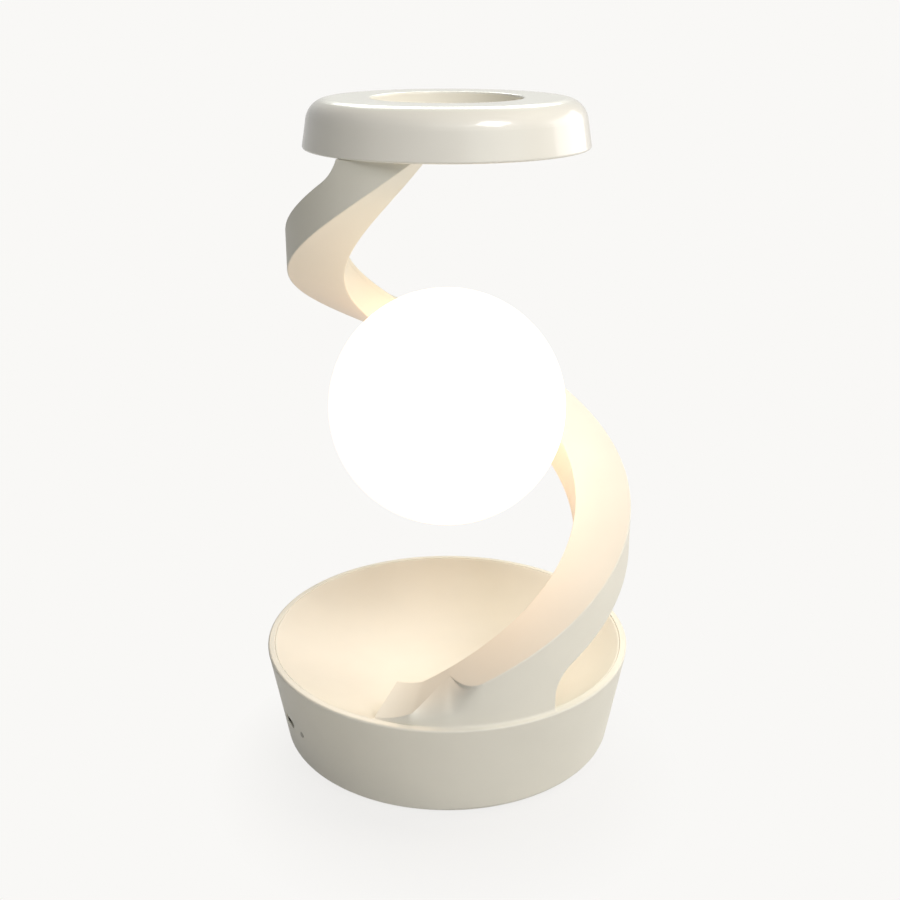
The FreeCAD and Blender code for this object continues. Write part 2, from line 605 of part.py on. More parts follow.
def stadium(name, width, height, length, x, y):
    """A rounded slot that runs outward along the port's axis from a point, at the port's height."""
    half = "((%s) - (%s)) / 2" % (width, height)
    pieces = []
    box = doc.addObject("Part::Box", name + "_box")
    bind(box, "Length", length)
    bind(box, "Width", "(%s) - (%s)" % (width, height))
    bind(box, "Height", height)
    across_x, across_y = "sin((port_angle - 90) * 1 deg)", "cos((port_angle - 90) * 1 deg)"
    turn(box, "(port_angle - 90)", "(%s) + (%s) * %s" % (x, half, across_x),
         "(%s) - (%s) * %s" % (y, half, across_y), "(%s - (%s) / 2)" % (PORT_Z, height))
    pieces.append(box)
    for side in (1, -1):
        end = doc.addObject("Part::Cylinder", "%s_end%d" % (name, side + 1))
        bind(end, "Radius", "(%s) / 2" % height)
        bind(end, "Height", length)
        turn(end, "(port_angle - 90)", "(%s) + %d * (%s) * %s" % (x, side, half, across_x),
             "(%s) - %d * (%s) * %s" % (y, side, half, across_y), PORT_Z, "90")
        pieces.append(end)
    return fuse(name, pieces)


def make_electronics():
    board = radial_box("board_blank", "board_inner_radius", "board_outer_radius", "board_width",
                       "board_thickness", "board_angle", "(%s - board_thickness)" % BOARD_TOP)
    corners = []
    for side in (1, -1):
        for reach in ("board_inner_radius + board_screw_margin",
                      "board_inner_radius + board_screw_margin + board_screw_spacing"):
            x, y = polar(reach, "board_angle")
            across = "%d * (board_width / 2 - board_screw_margin)" % side
            corners.append(("(%s) + %s * sin((board_angle - 90) * 1 deg)" % (x, across),
                            "(%s) - %s * cos((board_angle - 90) * 1 deg)" % (y, across)))
    holes = []
    spacers = []
    screws = []
    for i, (x, y) in enumerate(corners):
        holes.append(cylinder("board_hole%d" % i, "board_screw_radius + 0.15", "board_thickness + 2", x, y,
                              "(%s - board_thickness - 1)" % BOARD_TOP))
        tall = "(%s - board_thickness - %s)" % (BOARD_TOP, BALLAST_TOP)
        rod = cylinder("spacer_rod%d" % i, "board_screw_radius + 1.2", tall, x, y, BALLAST_TOP)
        bore = cylinder("spacer_bore%d" % i, "board_screw_radius + 0.05", tall, x, y, BALLAST_TOP)
        spacers.append(cut("spacer%d" % i, rod, [bore]))
        screws.append(screw("board_screw%d" % i, "board_screw_radius", "(board_thickness + %s - 0.2)" % tall,
                            "board_screw_radius + 0.9", "1.2", x, y, BOARD_TOP, downward=True))
    keep("control_board", cut("control_board_cut", board, holes))
    keep("board_spacers", group("spacer_set", spacers))
    keep("board_screws", group("board_screw_set", screws))

    mouth = "(%s - port_setback)" % outer_wall(PORT_Z)
    x, y = polar("%s - port_depth" % mouth, "port_angle")
    case = stadium("socket_case", "port_width", "port_height", "port_depth", x, y)
    inner_x, inner_y = polar("%s - port_depth + 1" % mouth, "port_angle")
    hollow = stadium("socket_hollow", "port_width - 2 * port_wall", "port_height - 2 * port_wall",
                     "port_depth", inner_x, inner_y)
    keep("usb_c_socket", cut("usb_c_socket_cut", case, [hollow]))
    keep("usb_c_tongue", radial_box("tongue", "%s - port_depth + 1" % mouth, "%s - 0.8" % mouth,
                                    "tongue_width", "tongue_thickness", "port_angle",
                                    "(%s - tongue_thickness / 2)" % PORT_Z))

    # distance from the board's inner edge, length, width, height and lean of each chip
    layout = (("2.5", "5", "5", "1.2", "0"), ("9.5", "4", "6", "1.8", "0"), ("3", "3.2", "3.2", "2.4", "9"),
              ("3", "2.6", "4", "1.0", "-9"), ("15.5", "2", "3.2", "0.9", "0"))
    chips = []
    for i, (reach, long, wide, tall, lean) in enumerate(layout):
        start = "(board_inner_radius + %s)" % reach
        chips.append(radial_box("chip%d" % i, start, "(%s + %s)" % (start, long), wide, tall,
                                "(board_angle + %s)" % lean, BOARD_TOP))
    keep("control_chips", group("chip_set", chips))


def make_button():
    wall_out = outer_wall(PORT_Z)
    wall_in = "(%s - base_wall)" % wall_out
    flange_back = "(%s - 2.2)" % wall_in
    switch_front = "(%s - switch_setback)" % wall_in
    stem = radial_cylinder("button_stem", "button_radius", "(%s + 1.1)" % switch_front,
                           "(%s + 0.1)" % wall_out, "button_angle", PORT_Z)
    flange = radial_cylinder("button_collar", "button_flange_radius", flange_back,
                             "(%s + 1.0)" % flange_back, "button_angle", PORT_Z)
    keep("power_button", fuse("power_button_solid", [stem, flange]))

    case = radial_box("switch_case", "(%s - switch_size_length)" % switch_front, switch_front,
                      "switch_width", "switch_size_length", "button_angle", BOARD_TOP)
    well = radial_cylinder("switch_well", "0.95", "(%s - 1.6)" % switch_front, "(%s + 1)" % switch_front,
                           "button_angle", PORT_Z)
    keep("tact_switch", cut("tact_switch_cut", case, [well]))
    keep("switch_plunger", radial_cylinder("plunger", "0.8", "(%s - 0.9)" % switch_front,
                                           "(%s + 1.1)" % switch_front, "button_angle", PORT_Z))


# ---------------------------------------------------------------- arm
def lug_section(angle):
    low, high = value(BALLAST_TOP), value(DISH_FLOOR) + size("lug_height")
    inner, outer = size("lug_inner_radius"), size("lug_outer_radius")
    return [(inner, low), (outer, low), (outer, high), (inner, high)]


def entry_section(angle):
    """The slot in the lug that lets the cable in from the base."""
    inner, outer = size("lug_inner_radius") - 1, size("arm_screw_circle_radius") + 0.5
    low, high = value(BALLAST_TOP) - 1, value(DISH_FLOOR) + size("foot_floor_height")
    return [(inner, low), (outer, low), (outer, high), (inner, high)]


def mount_direction():
    a = math.radians(size("mount_angle"))
    return Vector(math.sin(a), -math.cos(a), 0)


def mount_drill(radius):
    """A rod along the mount's axis that starts at the globe's centre."""
    return Part.makeCylinder(radius, value(NUT_FRONT) + 4, Vector(0, 0, value(GLOBE_Z)), mount_direction())


def make_arm():
    end = size("foot_end_angle")
    channel_end = size("channel_end_angle")
    web_end = end + math.degrees(size("foot_web_radius") / arm_centre_radius(end))
    shape = loft(steps(end, channel_end, 10.0), channel_section, False)
    tip = loft(steps(channel_end, size("arm_end_angle"), 8.0), tip_section, False)
    neck_start = channel_end - math.degrees(size("neck_web_radius") / arm_centre_radius(channel_end))
    neck = loft(steps(neck_start, channel_end, 1.2), neck_section, True)
    foot_angles = steps(size("foot_start_angle"), size("foot_point_angle"), 2.0)
    foot_angles += steps(size("foot_point_angle"), size("foot_nose_angle"), 2.1)[1:]
    foot_angles += steps(size("foot_nose_angle"), size("foot_cut_angle"), 2.0)[1:]
    foot_angles += steps(size("foot_cut_angle"), end, 4.0)[1:]
    foot = loft(foot_angles, foot_section, True)
    web = loft(steps(end, web_end, 1.2), web_section, True)
    lug = loft(steps(size("lug_start_angle"), size("lug_end_angle"), 4.0), lug_section, True)
    shaft_angle = size("cable_shaft_angle")
    void = loft(steps(shaft_angle - 5, end, 4.0), void_section, True)
    foot = foot.fuse(lug)
    shaft_at = at_angle(size("arm_screw_circle_radius") + 0.5, shaft_angle, value(BALLAST_TOP) - 1)
    shaft = Part.makeCylinder(size("cable_shaft_radius"), arm_centre_height(shaft_angle) - shaft_at.z,
                              shaft_at)
    spread = math.degrees(size("cable_shaft_radius") / size("arm_screw_circle_radius"))
    entry = loft([shaft_angle - spread, shaft_angle, shaft_angle + spread], entry_section, True)
    foot = foot.cut(void).cut(shaft).cut(entry)
    for angle in (size("arm_screw_first_angle"), size("arm_screw_second_angle")):
        at = at_angle(size("arm_screw_circle_radius"), angle, value(BALLAST_TOP) - 1)
        foot = foot.cut(Part.makeCylinder(size("arm_screw_radius") + 0.05, size("arm_screw_length")
                                          - size("ballast_thickness") + 2, at))
    above = Part.makeBox(200, 200, 60, Vector(-100, -100, value(HEAD_BOTTOM)))
    tip = tip.fuse(neck).cut(above)
    for side in (1, -1):
        angle = size("tip_screw_angle")
        at = at_angle(arm_centre_radius(angle) + side * size("tip_screw_spread"), angle,
                      value(HEAD_BOTTOM) - size("tip_screw_length"))
        tip = tip.cut(Part.makeCylinder(size("tip_screw_radius") + 0.05, size("tip_screw_length") + 1, at))
    start, finish = tip_cable_hole()
    passage = Part.makeCylinder(size("cable_radius") + size("cable_clearance"), (finish - start).Length,
                                start, finish - start)
    shape = shape.fuse(tip).removeSplitter().cut(passage).fuse(foot.fuse(web))
    keep("arm_body", feature("arm_body_shape", shape))

    strip = loft(steps(size("cable_shaft_angle") - 4, channel_end, 10.0), strip_section, False)
    strip = strip.cut(mount_drill(size("shank_radius") + 0.2))
    keep("arm_inner_strip", feature("arm_strip_shape", strip))


def tip_cable_hole():
    """The slanting hole that takes the cable from the channel's end up through the arm's tip."""
    angle = size("channel_end_angle") - 3
    exit_angle = size("tip_cable_angle")
    start = at_angle(arm_centre_radius(angle) + size("cable_offset"), angle, arm_centre_height(angle) + 1)
    finish = at_angle(arm_centre_radius(exit_angle), exit_angle, value(CHARGER_BOARD))
    return start, finish


def bend(path, smallest=0.45):
    """Straight runs joined by tangent arcs along a list of points."""
    edges = []
    last = path[0]
    for before, corner, after in zip(path, path[1:], path[2:]):
        incoming = (corner - before).normalize()
        outgoing = (after - corner).normalize()
        half = incoming.getAngle(outgoing) / 2
        trim = smallest * min((corner - before).Length, (after - corner).Length)
        first = corner - incoming * trim
        second = corner + outgoing * trim
        inward = (outgoing - incoming).normalize()
        radius = trim / math.tan(half)
        middle = corner + inward * (radius / math.cos(half) - radius)
        if (first - last).Length > 1e-6:
            edges.append(Part.LineSegment(last, first).toShape())
        edges.append(Part.Arc(first, middle, second).toShape())
        last = second
    edges.append(Part.LineSegment(last, path[-1]).toShape())
    return Part.Wire(edges)


def tube(path, radius):
    wire = bend(path)
    start = wire.Edges[0]
    profile = Part.Wire(Part.makeCircle(radius, path[0], path[1] - path[0]))
    shape = wire.makePipeShell([profile], True, False)
    expected = wire.Length * math.pi * radius ** 2
    if abs(shape.Volume - expected) > 0.02 * expected:
        raise ValueError("cable tube volume %.1f, expected %.1f" % (shape.Volume, expected))
    return shape


def make_arm_cable():
    level = value(BOARD_TOP) + size("cable_radius")
    shaft_angle = size("cable_shaft_angle")
    shaft_radius = size("arm_screw_circle_radius") + 0.5
    mid = size("channel_end_angle")
    side = size("cable_offset")
    path = [at_angle(size("board_inner_radius") + 16, size("board_angle") + 9.5, level),
            at_angle(size("board_inner_radius") + 16, size("board_angle") + 20, level),
            at_angle(size("board_inner_radius") + 7, size("board_angle") + 36, level),
            at_angle(size("board_inner_radius") + 2, shaft_angle - 2, level),
            at_angle(shaft_radius, shaft_angle, level),
            at_angle(shaft_radius, shaft_angle, arm_centre_height(shaft_angle) + 1)]
    path += [at_angle(arm_centre_radius(a) + side, a, arm_centre_height(a)) for a in
             [shaft_angle + 11] + steps(shaft_angle + 24, mid - 16, 14.0)]
    path += tip_cable_hole()
    keep("arm_cable", feature("arm_cable_shape", tube(path, size("cable_radius"))))


# ---------------------------------------------------------------- head
def make_head():
    inner_low = "(head_radius - head_wall)"
    inner_high = "(head_radius - head_taper_width / 2 - head_wall)"
    shoulder = "(head_radius - head_taper_width)"
    shell = turned("head_cap", [
        (inner_low, HEAD_BOTTOM), ("head_radius", HEAD_BOTTOM), (shoulder, HEAD_TOP),
        ("recess_radius", HEAD_TOP),
        ("recess_radius", RECESS_FLOOR), ("(pad_radius + part_gap)", RECESS_FLOOR),
        ("(pad_radius + part_gap)", PAD_SEAT), ("0", PAD_SEAT), ("0", RECESS_UNDER),
        ("(recess_radius + head_wall)", RECESS_UNDER),
        ("(recess_radius + head_wall)", "(%s - head_wall)" % HEAD_TOP),
        ("(%s - head_shoulder_radius)" % inner_high, "(%s - head_wall)" % HEAD_TOP),
        (inner_high, "(%s - head_wall - head_shoulder_radius)" % HEAD_TOP),
        (inner_low, "(%s + part_gap)" % HEAD_COVER_TOP)],
        fillets=[(shoulder, HEAD_TOP, "head_shoulder_radius"),
                 ("recess_radius", HEAD_TOP, "lip_edge_radius"),
                 ("head_radius", HEAD_BOTTOM, "lip_edge_radius")])
    posts = []
    bores = []
    screws = []
    cover_holes = []
    tall = "(%s - head_wall + 0.5 - %s)" % (HEAD_TOP, HEAD_COVER_TOP)
    for i in range(3):
        x, y = polar("head_screw_circle_radius", "(post_first_angle + 35 + %d)" % (120 * i))
        posts.append(cylinder("head_post%d" % i, "head_post_radius", tall, x, y, HEAD_COVER_TOP))
        bores.append(cylinder("head_bore%d" % i, "cover_screw_radius + 0.05", "9", x, y,
                              "(%s - 0.5)" % HEAD_COVER_TOP))
        cover_holes.append(cylinder("head_cover_hole%d" % i, "cover_screw_radius + 0.2",
                                    "head_cover_thickness + 2", x, y, "(%s - 1)" % HEAD_BOTTOM))
        cover_holes.append(cylinder("head_cover_sink%d" % i, "cover_screw_head_radius + 0.2",
                                    "(head_cover_thickness / 2 + 1)", x, y, "(%s - 1)" % HEAD_BOTTOM))
        screws.append(screw("head_screw%d" % i, "cover_screw_radius", "head_screw_length",
                            "cover_screw_head_radius", "(head_cover_thickness / 2 - 0.1)", x, y,
                            "(%s + head_cover_thickness / 2)" % HEAD_BOTTOM))
    keep("head_shell", cut("head_shell_cut", fuse("head_solid", [shell] + posts), bores))
    keep("head_screws", group("head_screw_set", screws))

    cover = [cylinder("head_cover_disc", HEAD_COVER_RADIUS, "head_cover_thickness", z=HEAD_BOTTOM)]
    for i in range(3):
        x, y = polar("(charger_board_radius - 4)", "(post_first_angle + 35 + %d)" % (120 * i))
        cover.append(cylinder("head_standoff%d" % i, "2.4", "charger_board_height", x, y, HEAD_COVER_TOP))
    tip_screws = []
    tip_radius = ("arm_radius - arm_drop_width * ((tip_screw_angle - arm_drop_start_angle)"
                  " / (arm_drop_end_angle - arm_drop_start_angle)) ^ 2.2")
    for i, side in enumerate("+-"):
        x, y = polar("%s %s tip_screw_spread" % (tip_radius, side), "tip_screw_angle")
        cover_holes.append(cylinder("tip_clear%d" % i, "tip_screw_radius + 0.2",
                                    "head_cover_thickness + 2", x, y, "(%s - 1)" % HEAD_BOTTOM))
        tip_screws.append(screw("tip_screw%d" % i, "tip_screw_radius",
                                "(head_cover_thickness + tip_screw_length - 0.5)", "tip_screw_head_radius",
                                "1.6", x, y, HEAD_COVER_TOP, downward=True))
    start, finish = tip_cable_hole()
    way = (finish - start).normalize()
    passage = feature("head_cable_hole", Part.makeCylinder(size("cable_radius") + size("cable_clearance"), 12,
                                                           finish - way * 12, way))
    keep("head_cover", cut("head_cover_cut", fuse("head_cover_solid", cover), cover_holes + [passage]))
    keep("arm_tip_screws", group("tip_screw_set", tip_screws))

    keep("charging_pad", turned("pad_disc", [
        ("0", PAD_SEAT), ("pad_radius", PAD_SEAT), ("pad_radius", RECESS_FLOOR), ("0", RECESS_FLOOR)]))
    coil_bottom = "(%s - coil_thickness)" % RECESS_UNDER
    keep("charging_coil", ring("coil_ring", "coil_inner_radius", "coil_outer_radius", coil_bottom,
                               RECESS_UNDER))
    keep("magnet_ring", ring("magnet_band", "magnet_ring_radius", "(magnet_ring_radius + magnet_ring_width)",
                             coil_bottom, RECESS_UNDER))
    keep("ferrite_disc", turned("ferrite_sheet", [
        ("0", "(%s - ferrite_thickness)" % coil_bottom),
        ("(magnet_ring_radius + magnet_ring_width)", "(%s - ferrite_thickness)" % coil_bottom),
        ("(magnet_ring_radius + magnet_ring_width)", coil_bottom), ("0", coil_bottom)]))
    keep("charger_board", cylinder("charger_disc", "charger_board_radius", "board_thickness",
                                   z=CHARGER_BOARD))
    under = "(%s - %%s)" % CHARGER_BOARD
    # distance from the head's axis, length, width, height and direction of each chip
    side = "(charger_board_radius - 12)"
    layout = (("4", "6", "6", "2.0", "200"), (side, "5", "5", "1.6", "80"), (side, "5", "5", "1.6", "140"),
              ("6", "4", "8", "1.2", "20"))
    parts = [radial_box("charger_part%d" % i, reach, "(%s + %s)" % (reach, long), wide, tall, angle,
                        under % tall)
             for i, (reach, long, wide, tall, angle) in enumerate(layout)]
    keep("charger_chips", group("charger_part_set", parts))


# ---------------------------------------------------------------- globe, its light and its magnetic mount
def saddle_section(angle):
    """The space behind the arm's inner face, which the boss's back is cut to."""
    centre, level = arm_centre_radius(angle), arm_centre_height(angle)
    inner = centre - size("arm_width") / 2 - 0.02
    outer = centre + size("arm_width") / 2
    return [(inner, level - 20), (outer, level - 20), (outer, level + 20), (inner, level + 20)]


def make_globe():
    mouth_z = "sqrt(globe_radius ^ 2 - mouth_radius ^ 2)"
    inner_mouth_z = "sqrt((globe_radius - globe_wall) ^ 2 - mouth_radius ^ 2)"
    shade = turned("shade_skin", [
        ("0", "-(globe_radius)"), ("mouth_radius", mouth_z), ("mouth_radius", inner_mouth_z),
        ("0", "-(globe_radius - globe_wall)")], arcs=(0, 2))
    keep("globe_shade", along_mount(shade))

    back = "(%s - core_length)" % FACE
    flange_front = "(%s + core_flange_thickness)" % back
    bore = "(core_radius + run_gap)"
    barrel = "(mouth_radius - 0.1)"
    seat_top = "(sqrt((globe_radius - globe_wall) ^ 2 - collar_flange_radius ^ 2) - slip_gap)"
    snap_seat = "(%s - snap_seat_depth)" % FACE
    snap_bore = "(core_radius + snap_ring_width + 0.3)"
    keep("shade_collar", along_mount(turned("collar_ring", [
        (bore, "(%s + 0.1)" % flange_front), ("collar_flange_radius", "(%s + 0.1)" % flange_front),
        ("collar_flange_radius", seat_top), (barrel, seat_top), (barrel, FACE), (snap_bore, FACE),
        (snap_bore, snap_seat), (bore, snap_seat)])))

    pocket = "(%s - magnet_thickness - contact_board_thickness)" % FACE
    shelf = "(%s - 1.4)" % pocket
    keep("core_housing", along_mount(turned("core_cup", [
        ("(light_post_radius + 0.02)", back), ("core_flange_radius", back),
        ("core_flange_radius", flange_front), ("core_radius", flange_front),
        ("core_radius", "(%s + 0.1)" % snap_seat),
        ("(core_radius - 0.4)", "(%s + 0.1)" % snap_seat), ("(core_radius - 0.4)", "(%s - 0.3)" % FACE),
        ("core_radius", "(%s - 0.3)" % FACE), ("core_radius", FACE), ("(magnet_outer_radius + 0.05)", FACE),
        ("(magnet_outer_radius + 0.05)", pocket), ("2.2", pocket), ("2.2", shelf),
        ("(light_post_radius + 0.02)", shelf)])))
    keep("snap_ring", along_mount(ring("snap_band", "(core_radius - 0.38)", "(core_radius + snap_ring_width)",
                                       "(%s + 0.12)" % snap_seat, "(%s - 0.32)" % FACE)))
    keep("ring_magnet", along_mount(ring("magnet_body", "magnet_inner_radius", "magnet_outer_radius",
                                         "(%s - magnet_thickness)" % FACE, FACE)))
    keep("contact_board", along_mount(turned("contact_disc", [
        ("0", pocket), ("magnet_outer_radius", pocket),
        ("magnet_outer_radius", "(%s - magnet_thickness)" % FACE),
        ("0", "(%s - magnet_thickness)" % FACE)])))
    keep("light_post", along_mount(ring("post_tube", "(light_post_radius - light_post_wall)",
                                        "light_post_radius", "light_offset", shelf)))
    board_low = "(light_offset - board_thickness)"
    keep("light_board", along_mount(turned("light_disc", [
        ("0", board_low), ("light_board_radius", board_low), ("light_board_radius", "light_offset"),
        ("0", "light_offset")])))
    direction = mount_direction()
    frame = FreeCAD.Placement(Vector(0, 0, value(GLOBE_Z)), Rotation(size("mount_angle") - 90, 90, 0))
    chip = size("chip_width")
    chips = []
    for i in range(9):
        angle = math.radians(45 * i)
        reach = size("chip_circle_radius") if i < 8 else 0
        corner = Vector(reach * math.cos(angle) - chip / 2, reach * math.sin(angle) - chip / 2,
                        value(board_low) - chip / 2)
        chips.append(Part.makeBox(chip, chip, chip / 2, corner).transformGeometry(frame.toMatrix()))
    keep("light_chips", feature("light_chip_shape", Part.makeCompound(chips)))
    leads = []
    for side in (1, -1):
        lead = Part.makeCylinder(size("lead_radius"), value(pocket) - size("light_offset"),
                                 Vector(0, 1.8 * size("lead_radius") * side, size("light_offset")))
        leads.append(lead.transformGeometry(frame.toMatrix()))
    keep("light_leads", feature("light_lead_shape", Part.makeCompound(leads)))

    nut_back = "(%s + nut_thickness)" % NUT_FRONT
    boss = along_mount(ring("boss_pad", "(plug_radius + 0.02)", "boss_radius", BOSS_FRONT, NUT_FRONT))
    angle = size("mount_angle")
    saddle = feature("boss_saddle", loft([angle - 30, angle - 15, angle, angle + 15, angle + 30],
                                         saddle_section, False))
    shank = along_mount(ring("boss_shank", "(plug_radius + 0.02)", "shank_radius", BOSS_FRONT,
                             "(%s + 0.6)" % nut_back))
    keep("mount_boss", fuse("mount_boss_solid", [cut("boss_seated", boss, [saddle]), shank]))
    keep("mount_nut", along_mount(ring("nut_ring", "(shank_radius + 0.02)", "nut_radius", NUT_FRONT,
                                       nut_back)))
    plug_back = "(%s + 1.6)" % nut_back
    plug = along_mount(cylinder("plug_rod", "plug_radius", "(%s) - (%s)" % (plug_back, BOSS_FRONT)))
    turn(plug, "(mount_angle - 90)", "(%s) * sin(mount_angle * 1 deg)" % BOSS_FRONT,
         "-(%s) * cos(mount_angle * 1 deg)" % BOSS_FRONT, GLOBE_Z, "90")
    plug_length = value(plug_back) - value(BOSS_FRONT)
    pin_start = value(FACE) - size("magnet_thickness") + 0.15
    pins = []
    drills = []
    for offset in (0, size("pin_spacing")):
        for radius, start, end, out in ((size("pin_radius"), pin_start, value(plug_back) + 0.8, pins),
                                        (size("pin_radius") + 0.02, value(BOSS_FRONT) - 1,
                                         value(plug_back) + 1, drills)):
            rod = Part.makeCylinder(radius, end - start, Vector(0, offset, start))
            out.append(rod.transformGeometry(frame.toMatrix()))
    keep("contact_pins", feature("contact_pin_shape", Part.makeCompound(pins)))
    keep("mount_plug", cut("mount_plug_cut", plug, [feature("pin_drill%d" % i, drill)
                                                    for i, drill in enumerate(drills)]))


make_base()
make_electronics()
make_button()
make_arm()
make_arm_cable()
make_head()
make_globe()
doc.recompute()

# ---------------------------------------------------------------- checks and export
for item in doc.Objects:
    if "Invalid" in item.State or "Error" in item.State:
        raise RuntimeError("%s is %s" % (item.Name, item.State))
for node, item in nodes.items():
    shape = item.Shape
    if shape.isNull() or not shape.isValid() or not shape.Solids:
        raise RuntimeError("%s has no valid shape" % node)
    if min(solid.Volume for solid in shape.Solids) <= 0:
        raise RuntimeError("%s has a solid without volume" % node)

os.makedirs("parts", exist_ok=True)
for node, item in nodes.items():
    item.Shape.exportStep("parts/%s.step" % node)
print("%d nodes" % len(nodes))
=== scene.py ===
import bmesh
import bpy
import math
import numpy as np
from mathutils import Euler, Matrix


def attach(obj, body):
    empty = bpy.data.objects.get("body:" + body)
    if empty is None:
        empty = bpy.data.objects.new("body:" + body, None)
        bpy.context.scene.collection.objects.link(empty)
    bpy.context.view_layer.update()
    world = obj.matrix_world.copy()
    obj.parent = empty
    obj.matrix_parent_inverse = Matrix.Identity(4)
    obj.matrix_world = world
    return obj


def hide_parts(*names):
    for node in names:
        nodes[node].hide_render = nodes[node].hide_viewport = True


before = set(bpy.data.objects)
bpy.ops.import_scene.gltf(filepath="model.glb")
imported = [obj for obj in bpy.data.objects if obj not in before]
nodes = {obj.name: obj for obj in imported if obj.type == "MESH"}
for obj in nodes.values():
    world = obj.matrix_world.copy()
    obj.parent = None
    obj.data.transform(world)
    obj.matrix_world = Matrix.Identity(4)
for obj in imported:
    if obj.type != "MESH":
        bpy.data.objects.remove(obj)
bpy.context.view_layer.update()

scene = bpy.context.scene

MM = 0.001
LIFT = 0.8               # the rubber feet lift the base by this much, mm

# ---------------------------------------------------------------- camera: the photograph's viewpoint
CAMERA_BACK, CAMERA_HEIGHT = 455.3, 290.4 + LIFT
CAMERA_DOWN, CAMERA_YAW = 20.32, -0.141
LENS = 48.75

camera_data = bpy.data.cameras.new("camera")
camera = bpy.data.objects.new("camera", camera_data)
scene.collection.objects.link(camera)
camera_data.sensor_width = 36.0
camera_data.sensor_fit = "HORIZONTAL"
camera_data.lens = LENS
camera_data.clip_start = 0.01
camera.location = (0.0, -CAMERA_BACK * MM, CAMERA_HEIGHT * MM)
camera.rotation_euler = (math.radians(90 - CAMERA_DOWN), 0.0, math.radians(CAMERA_YAW))
scene.camera = camera
scene.view_settings.view_transform = "Standard"

# ---------------------------------------------------------------- material building


def srgb(r, g, b):
    """A colour given as 0-255 display values, as linear values."""
    def one(v):
        v /= 255.0
        return v / 12.92 if v <= 0.04045 else ((v + 0.055) / 1.055) ** 2.4
    return (one(r), one(g), one(b), 1.0)


class Shader:
    """A material with its Principled node, and helpers to add procedural detail at real scale."""

    def __init__(self, name, **sockets):
        self.material = bpy.data.materials.new(name)
        self.material.use_nodes = True
        self.tree = self.material.node_tree
        self.bsdf = self.tree.nodes["Principled BSDF"]
        self.output = self.tree.nodes["Material Output"]
        for socket, value in sockets.items():
            self.bsdf.inputs[socket.replace("_", " ")].default_value = value
        self.position = self.tree.nodes.new("ShaderNodeTexCoord").outputs["Object"]

    def node(self, kind, **inputs):
        """A new node with the given values on its sockets."""
        node = self.tree.nodes.new(kind)
        for name, value in inputs.items():
            node.inputs[name.replace("_", " ")].default_value = value
        return node

    def link(self, a, b):
        self.tree.links.new(a, b)

    def noise(self, size_mm, detail=2.0, roughness=0.5, stretch=None):
        """Noise whose features are about size_mm across."""
        node = self.node("ShaderNodeTexNoise", Scale=1000.0 / size_mm, Detail=detail, Roughness=roughness)
        if stretch:
            mapping = self.node("ShaderNodeMapping")
            mapping.inputs["Scale"].default_value = stretch
            self.link(self.position, mapping.inputs["Vector"])
            self.link(mapping.outputs["Vector"], node.inputs["Vector"])
        else:
            self.link(self.position, node.inputs["Vector"])
        return node.outputs["Fac"]

    def spread(self, value, low, high, to_low, to_high):
        """The value with its range from low to high laid out from to_low to to_high, and held beyond it."""
        node = self.node("ShaderNodeMapRange")
        for name, number in (("From Min", low), ("From Max", high), ("To Min", to_low), ("To Max", to_high)):
            node.inputs[name].default_value = number
        self.link(value, node.inputs["Value"])
        return node.outputs["Result"]

    def mix(self, fac, a, b):
        """The first colour where fac is 0, the second where it is 1."""
        node = self.tree.nodes.new("ShaderNodeMix")
        node.data_type = "RGBA"
        self.link(fac, node.inputs["Factor"])
        node.inputs["A"].default_value = a
        node.inputs["B"].default_value = b
        return node.outputs["Result"]

    def colour(self, a, b, size_mm, detail=2.0):
        """Base colour that drifts between two colours."""
        fac = self.spread(self.noise(size_mm, detail), 0.35, 0.65, 0.0, 1.0)
        self.link(self.mix(fac, a, b), self.bsdf.inputs["Base Color"])

    def rough(self, size_mm, low, high):
        """Roughness that drifts between two values."""
        self.link(self.spread(self.noise(size_mm), 0.3, 0.7, low, high), self.bsdf.inputs["Roughness"])

    def bump(self, value, height_mm):
        """Relief of the given height, added to any relief that the shader has already."""
        node = self.node("ShaderNodeBump", Strength=1.0, Distance=height_mm * MM)
        self.link(value, node.inputs["Height"])
        previous = self.bsdf.inputs["Normal"].links
        if previous:
            self.link(previous[0].from_socket, node.inputs["Normal"])
        self.link(node.outputs["Normal"], self.bsdf.inputs["Normal"])


def tone(colour, factor):
    """A colour made lighter or darker by a factor."""
    return (colour[0] * factor, colour[1] * factor, colour[2] * factor, 1.0)


def paint(name, colour, roughness, coat=0.0, orange_peel=0.012, grain=0.006, polish=0.08):
    """Moulded or sprayed plastic: faint drift of tone, an even fine grain and a soft orange peel."""
    shader = Shader(name, IOR=1.48, Coat_Weight=coat, Coat_Roughness=polish)
    shader.colour(tone(colour, 0.985), tone(colour, 1.01), 28.0)
    shader.rough(9.0, roughness * 0.93, roughness * 1.07)
    shader.bump(shader.noise(2.6, 1.0), orange_peel)
    shader.bump(shader.noise(0.35, 2.0), grain)
    return shader.material


def metal(name, colour, roughness, brushed=None):
    """Bare metal with an even fine grain, or with brush marks where the noise is stretched along one axis."""
    shader = Shader(name, Metallic=1.0)
    shader.colour(tone(colour, 0.9), tone(colour, 1.06), 3.0, 3.0)
    if brushed:
        shader.link(shader.spread(shader.noise(0.6, 3.0, 0.6, brushed), 0.3, 0.7, roughness * 0.75,
                                  roughness * 1.25), shader.bsdf.inputs["Roughness"])
        shader.bump(shader.noise(0.25, 2.0, 0.5, brushed), 0.004)
    else:
        shader.rough(1.5, roughness * 0.8, roughness * 1.2)
        shader.bump(shader.noise(0.3, 2.0), 0.003)
    return shader.material


